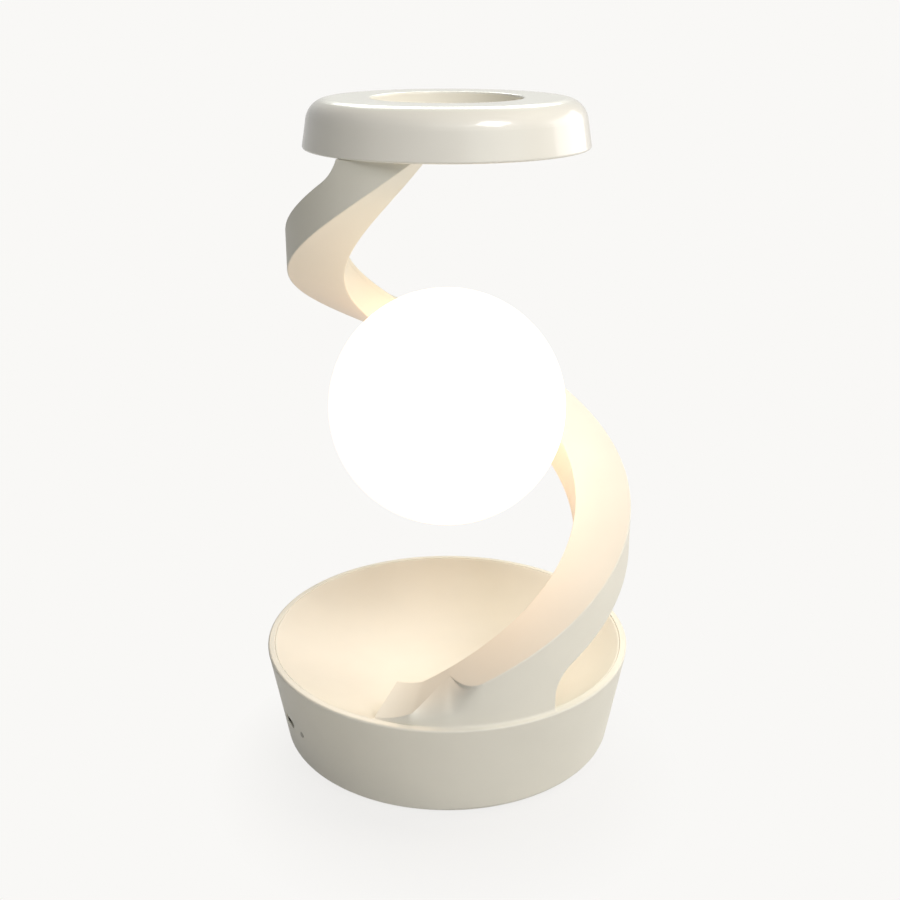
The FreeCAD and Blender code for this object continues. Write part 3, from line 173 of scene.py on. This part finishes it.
def rubber(name, colour, roughness, drift=0.09):
    """Rubber or another matt moulded mass, with a drift of tone and a fine pitted grain."""
    shader = Shader(name, IOR=1.5)
    shader.colour(tone(colour, 1 - drift), tone(colour, 1 + drift), 1.2, 3.0)
    shader.rough(0.8, roughness * 0.92, min(1.0, roughness * 1.08))
    shader.bump(shader.noise(0.18, 2.0), 0.012)
    return shader.material


CREAM = srgb(236, 232, 218)
cream_satin = paint("cream_satin", CREAM, 0.42)
cream_dish = paint("cream_dish", CREAM, 0.46, grain=0.008)
cream_gloss = paint("cream_gloss", srgb(238, 234, 222), 0.3, coat=0.8, orange_peel=0.004, grain=0.0015,
                    polish=0.1)
TRACES_PER_METRE = 170.0


def board_material():
    """Green solder mask with faint copper traces under it."""
    shader = Shader("solder_mask", Roughness=0.35, IOR=1.5)
    brick = shader.node("ShaderNodeTexBrick", Scale=TRACES_PER_METRE, Mortar_Size=0.025)
    shader.link(shader.position, brick.inputs["Vector"])
    brick.inputs["Color1"].default_value = srgb(18, 84, 46)
    brick.inputs["Color2"].default_value = srgb(20, 92, 52)
    brick.inputs["Mortar"].default_value = srgb(60, 138, 84)
    shader.link(brick.outputs["Color"], shader.bsdf.inputs["Base Color"])
    shader.bump(brick.outputs["Fac"], 0.03)
    return shader.material


WIRE_PITCH = 1.2         # from one ring of the coil's wire to the next, mm


def winding_material():
    """Enamelled copper wire laid in rings round the head's axis."""
    shader = Shader("copper_winding", Metallic=1.0)
    # the wave node repeats every pi / 10 of its own units
    wave = shader.node("ShaderNodeTexWave", Scale=math.pi / 10 / (WIRE_PITCH * MM))
    wave.wave_type = "RINGS"
    wave.rings_direction = "Z"
    shader.link(shader.position, wave.inputs["Vector"])
    shader.link(shader.mix(wave.outputs["Fac"], srgb(120, 62, 30), srgb(222, 140, 84)),
                shader.bsdf.inputs["Base Color"])
    shader.rough(1.0, 0.22, 0.36)
    shader.bump(wave.outputs["Fac"], 0.15)
    return shader.material


# the globe's light to the sides, downward and upward
GLOW_SIDE = (1.45, 0.9, 0.7, 1.0)
GLOW_BELOW = (1.65, 1.0, 0.56, 1.0)
GLOW_ABOVE = (1.18, 0.93, 0.66, 1.0)


def globe_material():
    """Opal diffuser, lit from inside: white with a faint satin grain, warmer where it faces the tray."""
    shader = Shader("opal_glow", IOR=1.46, Emission_Strength=1.0)
    shader.colour(srgb(246, 244, 238), srgb(250, 249, 245), 12.0)
    shader.rough(0.6, 0.32, 0.42)
    facing = shader.node("ShaderNodeSeparateXYZ")
    shader.link(shader.node("ShaderNodeNewGeometry").outputs["Normal"], facing.inputs["Vector"])
    lower = shader.mix(shader.spread(facing.outputs["Z"], -0.9, -0.2, 0.0, 1.0), GLOW_BELOW, GLOW_SIDE)
    glow = shader.mix(shader.spread(facing.outputs["Z"], 0.2, 0.9, 0.0, 1.0), GLOW_SIDE, GLOW_ABOVE)
    shader.link(lower, glow.node.inputs["A"])
    shader.link(glow, shader.bsdf.inputs["Emission Color"])
    shader.bump(shader.noise(0.3, 2.0), 0.004)
    return shader.material


finishes = {
    "opal": globe_material(),
    "steel": metal("zinc_steel", srgb(186, 187, 190), 0.34),
    "ballast": metal("rolled_steel", srgb(120, 121, 125), 0.42, brushed=(0.04, 1.0, 1.0)),
    "nickel": metal("nickel", srgb(205, 203, 198), 0.16),
    "gold": metal("gold_contact", srgb(226, 184, 92), 0.2),
    "copper": metal("copper_lead", srgb(200, 122, 74), 0.3),
    "winding": winding_material(),
    "ferrite": rubber("ferrite", srgb(46, 46, 48), 0.6),
    "board": board_material(),
    "white_board": paint("white_mask", srgb(236, 238, 238), 0.4),
    "black": paint("moulded_black", srgb(26, 26, 28), 0.45),
    "grey": paint("moulded_grey", srgb(150, 148, 142), 0.5),
    "dark_grey": paint("button_grey", srgb(170, 165, 153), 0.45),
    "phosphor": paint("phosphor", srgb(238, 204, 92), 0.3),
    "silicone": rubber("silicone_cream", srgb(233, 228, 212), 0.62, 0.02),
    "grey_rubber": rubber("grey_rubber", srgb(74, 73, 71), 0.8),
    "alloy": metal("turned_alloy", srgb(196, 197, 200), 0.28, brushed=(1.0, 1.0, 0.05)),
    "sheath": rubber("cable_sheath", srgb(226, 222, 208), 0.55),
}

dress = {
    cream_satin: ["base_shell", "bottom_cover", "arm_body", "arm_inner_strip", "head_cover"],
    cream_dish: ["base_dish"],
    cream_gloss: ["head_shell"],
    finishes["opal"]: ["globe_shade"],
    finishes["steel"]: ["cover_screws", "arm_foot_screws", "board_screws", "head_screws", "arm_tip_screws",
                        "mount_nut", "snap_ring"],
    finishes["ballast"]: ["ballast_plate"],
    finishes["nickel"]: ["ring_magnet", "magnet_ring", "mount_boss", "usb_c_socket"],
    finishes["gold"]: ["contact_pins"],
    finishes["copper"]: ["light_leads"],
    finishes["winding"]: ["charging_coil"],
    finishes["ferrite"]: ["ferrite_disc"],
    finishes["board"]: ["control_board", "charger_board", "contact_board"],
    finishes["white_board"]: ["light_board"],
    finishes["black"]: ["control_chips", "charger_chips", "tact_switch", "mount_plug"],
    finishes["grey"]: ["board_spacers", "switch_plunger", "core_housing", "shade_collar"],
    finishes["dark_grey"]: ["power_button", "usb_c_tongue"],
    finishes["phosphor"]: ["light_chips"],
    finishes["silicone"]: ["charging_pad"],
    finishes["grey_rubber"]: ["rubber_feet"],
    finishes["alloy"]: ["light_post"],
    finishes["sheath"]: ["arm_cable"],
}
for material, names in dress.items():
    for name in names:
        mesh = nodes[name].data
        mesh.materials.clear()
        mesh.materials.append(material)
undressed = set(nodes) - {n for names in dress.values() for n in names}
if undressed:
    raise RuntimeError("no material for %s" % sorted(undressed))

# ---------------------------------------------------------------- mesh building
CREASE = 40.0            # two faces that meet at more than this, in degrees, keep a sharp edge
ROUND_STEPS = 3          # faces in a rounded corner


class Skin:
    """A mesh made of points in mm, in which equal points are one vertex."""

    def __init__(self):
        self.points = []
        self.index = {}
        self.faces = []

    def vertex(self, point):
        """The number of the vertex at a point."""
        key = tuple(round(c, 4) for c in point)
        if key not in self.index:
            self.index[key] = len(self.points)
            self.points.append([c * MM for c in point])
        return self.index[key]

    def face(self, points):
        """One face; points that fall together count once, and a face with no area is left out."""
        corners = [self.vertex(p) for p in points]
        corners = [c for i, c in enumerate(corners) if c != corners[i - 1]]
        if len(set(corners)) == len(corners) > 2:
            self.faces.append(corners)

    def band(self, first, second, closed=True):
        """Faces between two rows of as many points."""
        for i in range(0 if closed else 1, len(first)):
            self.face((first[i - 1], second[i - 1], second[i], first[i]))

    def piece(self, name, material):
        """The mesh as an object, smooth but for its creases."""
        mesh = bpy.data.meshes.new(name)
        mesh.from_pydata(self.points, [], self.faces)
        mesh.materials.append(material)
        form = bmesh.new()
        form.from_mesh(mesh)
        bmesh.ops.recalc_face_normals(form, faces=form.faces)
        form.to_mesh(mesh)
        form.free()
        mesh.shade_smooth()
        mesh.set_sharp_from_angle(angle=math.radians(CREASE))
        piece = bpy.data.objects.new(name, mesh)
        scene.collection.objects.link(piece)
        weighted = piece.modifiers.new("flat_faces", "WEIGHTED_NORMAL")
        weighted.keep_sharp = True
        return piece


def at_angle(radius, angle, level):
    """A point from its distance off the lamp's axis, its angle from the front towards +X, and its height."""
    a = math.radians(angle)
    return radius * math.sin(a), -radius * math.cos(a), level


def rounded(corners):
    """A closed outline from (x, y, rounding) corners; one with no rounding stays a single point."""
    points = []
    for i, (x, y, rounding) in enumerate(corners):
        if rounding is None:
            points.append((x, y))
            continue
        ends = []
        for nx, ny, _ in (corners[i - 1], corners[(i + 1) % len(corners)]):
            length = math.hypot(nx - x, ny - y) or 1.0
            reach = min(rounding, 0.45 * length) / length
            ends.append((x + (nx - x) * reach, y + (ny - y) * reach))
        for k in range(ROUND_STEPS + 1):
            t = k / ROUND_STEPS
            points.append(tuple((1 - t) ** 2 * a + 2 * t * (1 - t) * c + t ** 2 * b
                                for a, c, b in zip(ends[0], (x, y), ends[1])))
    return points


def steps(start, end, longest):
    """Even steps from start to end, none above the longest."""
    count = max(1, math.ceil((end - start) / longest))
    return [start + (end - start) * i / count for i in range(count + 1)]


# ---------------------------------------------------------------- the solids' sizes that the skins follow
# mm and degrees
RIM = LIFT + 40.3
LIP_INNER = 72.0
DISH_DEPTH, DISH_STEP, DISH_WALL, DISH_ARC = 19.4, 0.4, 2.4, 71.0
DISH_FLOOR = RIM - DISH_STEP - DISH_DEPTH
DISH_SPHERE = (DISH_ARC ** 2 + DISH_DEPTH ** 2) / (2 * DISH_DEPTH)
SEAT, LEDGE_INNER = RIM - 4.1, 69.2
ARM_RADIUS, ARM_WIDTH, ARM_HEIGHT, ARM_TIP_HEIGHT = 62.6, 22.0, 17.8, 14.4
ARM_WALL, STRIP_THICKNESS, SEAM, EDGE = 2.4, 2.0, 0.03, 0.6
ARM_START, ARM_PITCH = RIM + 3.05, 211.7
DROP, DROP_START, DROP_END, DROP_POWER, INSET = 28.6, 80.0, 350.0, 2.2, 1.0
THIN_START, THIN_SPAN = 170.0, 180.0
HEAD_BOTTOM = 240.7
STRIP_START, STRIP_END = 1.0, 315.0
THINNING = (ARM_HEIGHT - ARM_TIP_HEIGHT) / 2 / THIN_SPAN
TIP_THICKNESS = 0.15     # what is left between the arm's underside and the head at the end of the tip
ARM_END = ((HEAD_BOTTOM - TIP_THICKNESS - ARM_START + ARM_HEIGHT / 2 + THINNING * THIN_START)
           / (ARM_PITCH / 360 + THINNING))
FOOT_START, FOOT_FLAT, FOOT_FLAT_FALL = -22.5, -10.7, 1.6
FOOT_POINT, FOOT_NOSE, FOOT_CUT, FOOT_END = -10.5, 1.3, 10.5, 33.4
NOSE_SETBACK, POINT_SETBACK, POINT_HEIGHT = 15.2, 1.3, 4.35
NOSE_POWER, SETBACK_POWER, SINK_POWER = 2.1, 1.6, 1.7
BROW, WEB, FLARE = 1.2, 7.0, 1.2
LIP_GAP = 0.1            # between the foot and the base's lip
RIM_GAP = 0.02           # between the foot's flare and the base's rim
LEAST_BROW = 0.05        # the brow's height where the ridge turns down
BEHIND_HEAD = 0.03       # between the tip and the head's underside
BROW_RUN = 3.0           # degrees over which the brow grows to its full height
EDGE_RUN = 3.0           # mm over which the rounding of the arm's lower edges begins
TRAY_SINK = 0.2          # how far the foot's hem goes under the tray's edge beyond the point
SINK_RUN = 3.0           # degrees over which it does so
DOME_HEIGHT, NECK_WEB = 10.0, 6.0
DOME_TURNS = (75, 60, 45, 30, 20)
BURIED = DISH_FLOOR + 5.5        # the foot's underside, hidden in the tray's slot
LUG_START, LUG_END, LUG_INNER, LUG_OUTER = -13.0, 22.0, 54.0, 65.5
LUG_BOTTOM, LUG_TOP = 10.0, DISH_FLOOR + 7.5


def eased(value, start, end):
    """0 at start, 1 at end and beyond, with a smooth rise between."""
    share = min(1.0, max(0.0, (value - start) / (end - start)))
    return 0.5 - 0.5 * math.cos(math.pi * share)


def linear(value, start, end):
    """0 at start and before, 1 at end and beyond, with a straight rise between."""
    return min(1.0, max(0.0, (value - start) / (end - start)))


def dish_level(radius):
    """Height of the tray's dished surface at a distance from the lamp's axis."""
    return DISH_FLOOR + DISH_SPHERE - math.sqrt(DISH_SPHERE ** 2 - min(radius, DISH_ARC) ** 2)


def arm_edges(angle):
    """Inner and outer radius of the spiral arm."""
    drop = max(0.0, (angle - DROP_START) / (DROP_END - DROP_START)) ** DROP_POWER
    centre = ARM_RADIUS - DROP * drop - INSET * max(0.0, 1 - angle / DROP_START) ** 2
    return centre - ARM_WIDTH / 2, centre + ARM_WIDTH / 2


def arm_levels(angle):
    """Lower and upper height of the spiral arm."""
    level = ARM_START + ARM_PITCH * angle / 360
    half = (ARM_HEIGHT + (ARM_TIP_HEIGHT - ARM_HEIGHT) * max(0.0, (angle - THIN_START) / THIN_SPAN)) / 2
    return level - half, level + half


def foot_crest(angle):
    """Height of the foot's inner upper edge: the arm's own edge, then a ledge that levels out."""
    left = 1 - linear(-angle, -FOOT_FLAT, -FOOT_START)
    return arm_levels(max(angle, FOOT_FLAT))[1] - FOOT_FLAT_FALL * (1 - left ** 2)


def foot_ridge(angle):
    """Radius and height of the foot's outer upper edge: it turns inward to the nose, from there it runs down
    and out to a point beside the lip, and then it sinks along the lip."""
    outer = arm_edges(angle)[1]
    if angle >= FOOT_NOSE:
        cut = linear(-angle, -FOOT_CUT, -FOOT_NOSE)
        return outer - NOSE_SETBACK * cut ** NOSE_POWER, arm_levels(angle)[1]
    share = linear(-angle, -FOOT_NOSE, -FOOT_POINT)
    radius = outer - NOSE_SETBACK + (NOSE_SETBACK - POINT_SETBACK) * share ** SETBACK_POWER
    high = arm_levels(FOOT_NOSE)[1]
    left = 1 - linear(-angle, -FOOT_POINT, -FOOT_START)
    return radius, high + (RIM + POINT_HEIGHT - high) * share - POINT_HEIGHT * (1 - left ** SINK_POWER)


def waist_share():
    """How high the arm's underside meets the foot's upright end, as a share of the foot's outer side."""
    low, high = arm_levels(FOOT_END)
    hem = RIM + RIM_GAP + FLARE
    return (low - WEB - hem) / (high - BROW - LEAST_BROW - hem)


def foot_side(angle, ridge, fall):
    """The foot's outer side from under its brow to the lip: an upright wall that becomes a dome where the
    ridge turns inward. The last point before the flare is the waist."""
    share = linear(-angle, -FOOT_NOSE, -FOOT_POINT)
    outer = arm_edges(angle)[1]
    outer += (LIP_INNER - LIP_GAP - outer) * share
    flare = FLARE * (1 - share)
    base = RIM + RIM_GAP - (DISH_STEP + TRAY_SINK) * eased(-angle, -FOOT_POINT, SINK_RUN - FOOT_POINT)
    hem = base + flare
    rise = ridge[1] - fall - hem
    crown = linear(rise, 0.0, DOME_HEIGHT)
    side = []
    for turn in DOME_TURNS + (math.degrees(math.asin(waist_share())),):
        across, up = 1 - math.cos(math.radians(turn)), math.sin(math.radians(turn))
        across += (turn / 90 - across) * (1 - crown)
        up += (turn / 90 - up) * (1 - crown)
        side.append((outer - (outer - ridge[0]) * across, hem + rise * up))
    curve = [(outer + flare * (1 - math.cos(turn)), base + flare * (1 - math.sin(turn)))
             for turn in (0.0, 0.4, 0.8, 1.2, math.pi / 2)]
    return side, curve


def corner_depth(run, rounding):
    """How deep a rounded inside corner still is at a distance from its upright face."""
    return rounding * (1 - math.sqrt(1 - max(0.0, 1 - run / rounding) ** 2))


def inner_levels(angle, crest):
    """Heights on the foot's inner wall: the waist's, and the groove's lower and upper edges."""
    if angle >= STRIP_START:
        lower, upper = arm_levels(angle)[0] + ARM_WALL, arm_levels(angle)[1] - ARM_WALL
    else:
        low, high = arm_levels(STRIP_START)
        lower = BURIED + (crest - BURIED) * (low + ARM_WALL - BURIED) / (high - BURIED)
        upper = crest - (crest - BURIED) * ARM_WALL / (high - BURIED)
    low = arm_levels(FOOT_END)[0]
    waist = BURIED + (lower - BURIED) * (low - WEB - BURIED) / (low + ARM_WALL - BURIED)
    return waist, lower, upper


def arm_section(angle, foot, grooved):
    """The skin's section as (radius, height) points: over the top, down the outer wall, back under, and up
    the inner wall with the groove for the strip."""
    inner, outer = arm_edges(angle)
    low, high = arm_levels(angle)
    if foot:
        crest, ridge = foot_crest(angle), foot_ridge(angle)
        fall = BROW * linear(angle, FOOT_NOSE, FOOT_NOSE + BROW_RUN) + LEAST_BROW
        side, curve = foot_side(angle, ridge, fall)
        waist_in, lower, upper = inner_levels(angle, crest)
        corners = [(inner, upper, None), (inner, crest, EDGE), (*ridge, EDGE)]
        corners.append((ridge[0], ridge[1] - fall, fall))
        corners += [(*point, None) for point in side[:-1]] + [(*side[-1], 0.0)]
        corners += [(*point, None) for point in curve]
        corners += [(LIP_INNER - LIP_GAP, BURIED, None), (inner, BURIED, None), (inner, waist_in, 0.0)]
    else:
        middle = math.radians(1) * (inner + outer) / 2
        run = (angle - FOOT_END) * middle
        low -= corner_depth(run, WEB)
        edge = EDGE * linear(run, 0.0, EDGE_RUN)
        lower, upper = arm_levels(angle)[0] + ARM_WALL, high - ARM_WALL
        brow = high - BROW - LEAST_BROW
        if angle >= STRIP_END:
            high = HEAD_BOTTOM
        else:
            high += corner_depth((STRIP_END - angle) * middle, NECK_WEB)
        corners = [(inner, upper, None), (inner, high, EDGE), (outer, high, EDGE), (outer, brow, BROW / 2)]
        for turn in DOME_TURNS:
            up = (math.sin(math.radians(turn)) - waist_share()) / (1 - waist_share())
            corners.append((outer, low + (brow - low) * up, None))
        corners += [(outer, low, edge), (inner, low, edge)]
    corners.append((inner, lower, None))
    if grooved:
        depth = inner + STRIP_THICKNESS + SEAM
        corners += [(depth, lower, None), (depth, upper, None)]
    return [at_angle(r, angle, min(z, HEAD_BOTTOM - BEHIND_HEAD)) for r, z in rounded(corners)]


def swept(skin, sections):
    """Bands between each section and the next."""
    for first, second in zip(sections, sections[1:]):
        skin.band(first, second)


def make_arm_skin():
    """The arm in one skin: the foot, the free spiral with its groove, the tip, and the lug under the tray."""
    skin = Skin()
    web_end = FOOT_END + math.degrees(WEB / sum(arm_edges(FOOT_END)) * 2)
    bare = [arm_section(a, True, False) for a in steps(FOOT_START, STRIP_START, 1.0)]
    foot = [arm_section(a, True, True) for a in steps(STRIP_START, FOOT_CUT, 0.75)
            + steps(FOOT_CUT, FOOT_END, 1.6)[1:]]
    free = [arm_section(FOOT_END + (web_end - FOOT_END) * (1 - math.cos(math.radians(turn))), False, True)
            for turn in range(0, 90, 10)]
    neck = STRIP_END - math.degrees(NECK_WEB / sum(arm_edges(STRIP_END)) * 2)
    free += [arm_section(a, False, True) for a in steps(web_end, neck, 2.0)]
    free += [arm_section(STRIP_END - (STRIP_END - neck) * (1 - math.cos(math.radians(turn))), False, True)
             for turn in range(80, -1, -10)]
    tip = [arm_section(a, False, False) for a in steps(STRIP_END, ARM_END, 2.0)]
    for sections in (bare, foot, free, tip):
        swept(skin, sections)
    skin.face(bare[0])
    skin.face(tip[-1])
    skin.face(foot[0][-3:] + foot[0][:1])
    skin.face(tip[0][-1:] + free[-1][-2:] + tip[0][:1])
    skin.face([p for p in foot[-1] if p[2] < arm_levels(FOOT_END)[0] - WEB + 0.01])
    lug = [[at_angle(r, a, z) for r, z in ((LUG_INNER, LUG_BOTTOM), (LUG_OUTER, LUG_BOTTOM),
                                           (LUG_OUTER, LUG_TOP), (LUG_INNER, LUG_TOP))]
           for a in steps(LUG_START, LUG_END, 2.5)]
    swept(skin, lug)
    skin.face(lug[0])
    skin.face(lug[-1])
    piece = skin.piece("arm_skin", cream_satin)
    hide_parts("arm_body")
    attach(piece, "lamp")


def make_arm_strip():
    """The strip that closes the arm's groove, with softened edges."""
    skin = Skin()
    sections = []
    for angle in steps(STRIP_START + 0.05, STRIP_END - 0.05, 2.0):
        inner = arm_edges(angle)[0]
        lower, upper = arm_levels(angle)[0] + ARM_WALL + SEAM, arm_levels(angle)[1] - ARM_WALL - SEAM
        corners = [(inner, upper, 2 * SEAM), (inner + STRIP_THICKNESS, upper, None),
                   (inner + STRIP_THICKNESS, lower, None), (inner, lower, 2 * SEAM)]
        sections.append([at_angle(r, angle, z) for r, z in rounded(corners)])
    swept(skin, sections)
    skin.face(sections[0])
    skin.face(sections[-1])
    piece = skin.piece("arm_strip", cream_satin)
    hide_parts("arm_inner_strip")
    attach(piece, "lamp")


def make_tray():
    """The dished tray, whose edge lies close inside the base's lip."""
    skin = Skin()
    reach = math.asin(DISH_ARC / DISH_SPHERE)
    top = [DISH_SPHERE * math.sin(turn) for turn in steps(0.0, reach, reach / 24)]
    profile = [(r, dish_level(r)) for r in top]
    edge = LIP_INNER - SEAM
    profile += rounded([(DISH_ARC, RIM - DISH_STEP, None), (edge, RIM - 0.15, 0.3),
                        (edge, SEAT, None), (LEDGE_INNER, SEAT, None)])[1:]
    profile += [(r * LEDGE_INNER / DISH_ARC, dish_level(r) - DISH_WALL) for r in reversed(top)][1:]
    turns = 180
    rows = [[at_angle(r, 360 * i / turns, z) for r, z in profile] for i in range(turns)]
    for i in range(turns):
        skin.band(rows[i - 1], rows[i], closed=False)
    piece = skin.piece("tray", cream_dish)
    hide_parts("base_dish")
    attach(piece, "lamp")


make_arm_skin()
make_arm_strip()
make_tray()

# ---------------------------------------------------------------- floor, world and lights
FLOOR_TONE = srgb(249, 248, 246)
FLOOR_BASE = (0.68, 0.676, 0.667, 1.0)
FLOOR_REACH = 2000.0     # metres
SHADOW_CENTRE, SHADOW_REACH = (0.0, -0.035, 0.0), (0.045, 0.095)     # metres
SHADOW_EVEN = 0.84       # the even tone's share in the midst of the shadow
WORLD_TONE, WORLD_STRENGTH = (1.0, 1.0, 1.0, 1.0), 0.03
MIRRORED = 0.68          # how much of the backdrop's brightness the gloss shows
AIM = (0.0, 0.0, 0.12)
# name, place, width, height, watts, colour, turn about its own axis, whether the gloss shows it
LIGHTS = [
    ("right_back", (1.1, 0.55, 0.45), 1.1, 0.7, 4.9, (0.94, 0.9, 0.9), 0, True),
    ("right_front", (0.8, -1.0, 0.6), 1.1, 1.1, 2.2, (0.9, 1.0, 1.0), 0, True),
    ("diamond", (0.64, -0.7, 1.03), 0.45, 0.45, 5.2, (1.0, 0.95, 0.98), 45, True),
    ("back", (0.0, 1.2, 1.0), 0.8, 0.5, 7.6, (0.93, 1.0, 0.92), 0, True),
    ("front_top", (0.0, -1.1, 1.1), 0.8, 0.5, 5.6, (1.0, 1.0, 1.0), 0, False),
    ("right_top", (0.7, 0.1, 1.2), 0.5, 0.5, 5.0, (1.0, 0.95, 0.8), 0, False),
]


def seen_directly(tree):
    """1 for camera and transmission rays, which see the backdrop's own colour, a little less for glossy
    rays, and 0 for the rest."""
    path = tree.nodes.new("ShaderNodeLightPath")
    mirrored = tree.nodes.new("ShaderNodeMath")
    mirrored.operation = "MULTIPLY"
    mirrored.inputs[1].default_value = MIRRORED
    tree.links.new(path.outputs["Is Glossy Ray"], mirrored.inputs[0])
    total = mirrored.outputs["Value"]
    for name in ("Is Camera Ray", "Is Transmission Ray"):
        node = tree.nodes.new("ShaderNodeMath")
        node.operation = "MAXIMUM"
        tree.links.new(total, node.inputs[0])
        tree.links.new(path.outputs[name], node.inputs[1])
        total = node.outputs["Value"]
    return total


def make_floor():
    """A wide pale floor: its own even tone, with the lamp's shadow only near the lamp."""
    corners = [(x * FLOOR_REACH, y * FLOOR_REACH, 0) for x, y in ((-1, -1), (1, -1), (1, 1), (-1, 1))]
    mesh = bpy.data.meshes.new("floor")
    mesh.from_pydata(corners, [], [(0, 1, 2, 3)])
    floor = bpy.data.objects.new("floor", mesh)
    scene.collection.objects.link(floor)
    shader = Shader("floor_paper", Roughness=0.9)
    shader.bsdf.inputs["Base Color"].default_value = FLOOR_BASE
    glow = shader.node("ShaderNodeEmission", Strength=1.0)
    glow.inputs["Color"].default_value = FLOOR_TONE
    away = shader.node("ShaderNodeVectorMath")
    away.operation = "DISTANCE"
    away.inputs[1].default_value = SHADOW_CENTRE
    shader.link(shader.position, away.inputs[0])
    even = shader.spread(away.outputs["Value"], *SHADOW_REACH, SHADOW_EVEN, 1.0)
    share = shader.node("ShaderNodeMath")
    share.operation = "MULTIPLY"
    shader.link(seen_directly(shader.tree), share.inputs[0])
    shader.link(even, share.inputs[1])
    blend = shader.node("ShaderNodeMixShader")
    shader.link(share.outputs["Value"], blend.inputs["Fac"])
    shader.link(shader.bsdf.outputs["BSDF"], blend.inputs[1])
    shader.link(glow.outputs["Emission"], blend.inputs[2])
    shader.link(blend.outputs["Shader"], shader.output.inputs["Surface"])
    mesh.materials.append(shader.material)


def make_world():
    """A very faint even light, with the backdrop's own tone where it is seen directly."""
    world = bpy.data.worlds.new("studio")
    scene.world = world
    world.use_nodes = True
    tree = world.node_tree
    background = tree.nodes["Background"]
    background.inputs["Color"].default_value = WORLD_TONE
    background.inputs["Strength"].default_value = WORLD_STRENGTH
    backdrop = tree.nodes.new("ShaderNodeBackground")
    backdrop.inputs["Color"].default_value = FLOOR_TONE
    backdrop.inputs["Strength"].default_value = 1.0
    mix = tree.nodes.new("ShaderNodeMixShader")
    tree.links.new(seen_directly(tree), mix.inputs["Fac"])
    tree.links.new(background.outputs["Background"], mix.inputs[1])
    tree.links.new(backdrop.outputs["Background"], mix.inputs[2])
    tree.links.new(mix.outputs["Shader"], tree.nodes["World Output"].inputs["Surface"])


def area_light(name, place, target, width, height, watts, colour, turn, mirrored):
    """A soft rectangular lamp aimed at a point."""
    data = bpy.data.lights.new(name, "AREA")
    data.shape = "RECTANGLE"
    data.size, data.size_y = width, height
    data.energy = watts
    data.color = colour
    light = bpy.data.objects.new(name, data)
    scene.collection.objects.link(light)
    light.location = place
    direction = np.array(target) - np.array(place)
    yaw = math.atan2(direction[1], direction[0]) - math.pi / 2
    pitch = math.acos(-direction[2] / np.linalg.norm(direction))
    aimed = Euler((pitch, 0.0, yaw)).to_matrix()
    light.rotation_euler = (aimed @ Euler((0.0, 0.0, math.radians(turn))).to_matrix()).to_euler()
    light.visible_glossy = mirrored


make_floor()
make_world()
for name, place, width, height, watts, colour, turn, mirrored in LIGHTS:
    area_light(name, place, AIM, width, height, watts, colour, turn, mirrored)
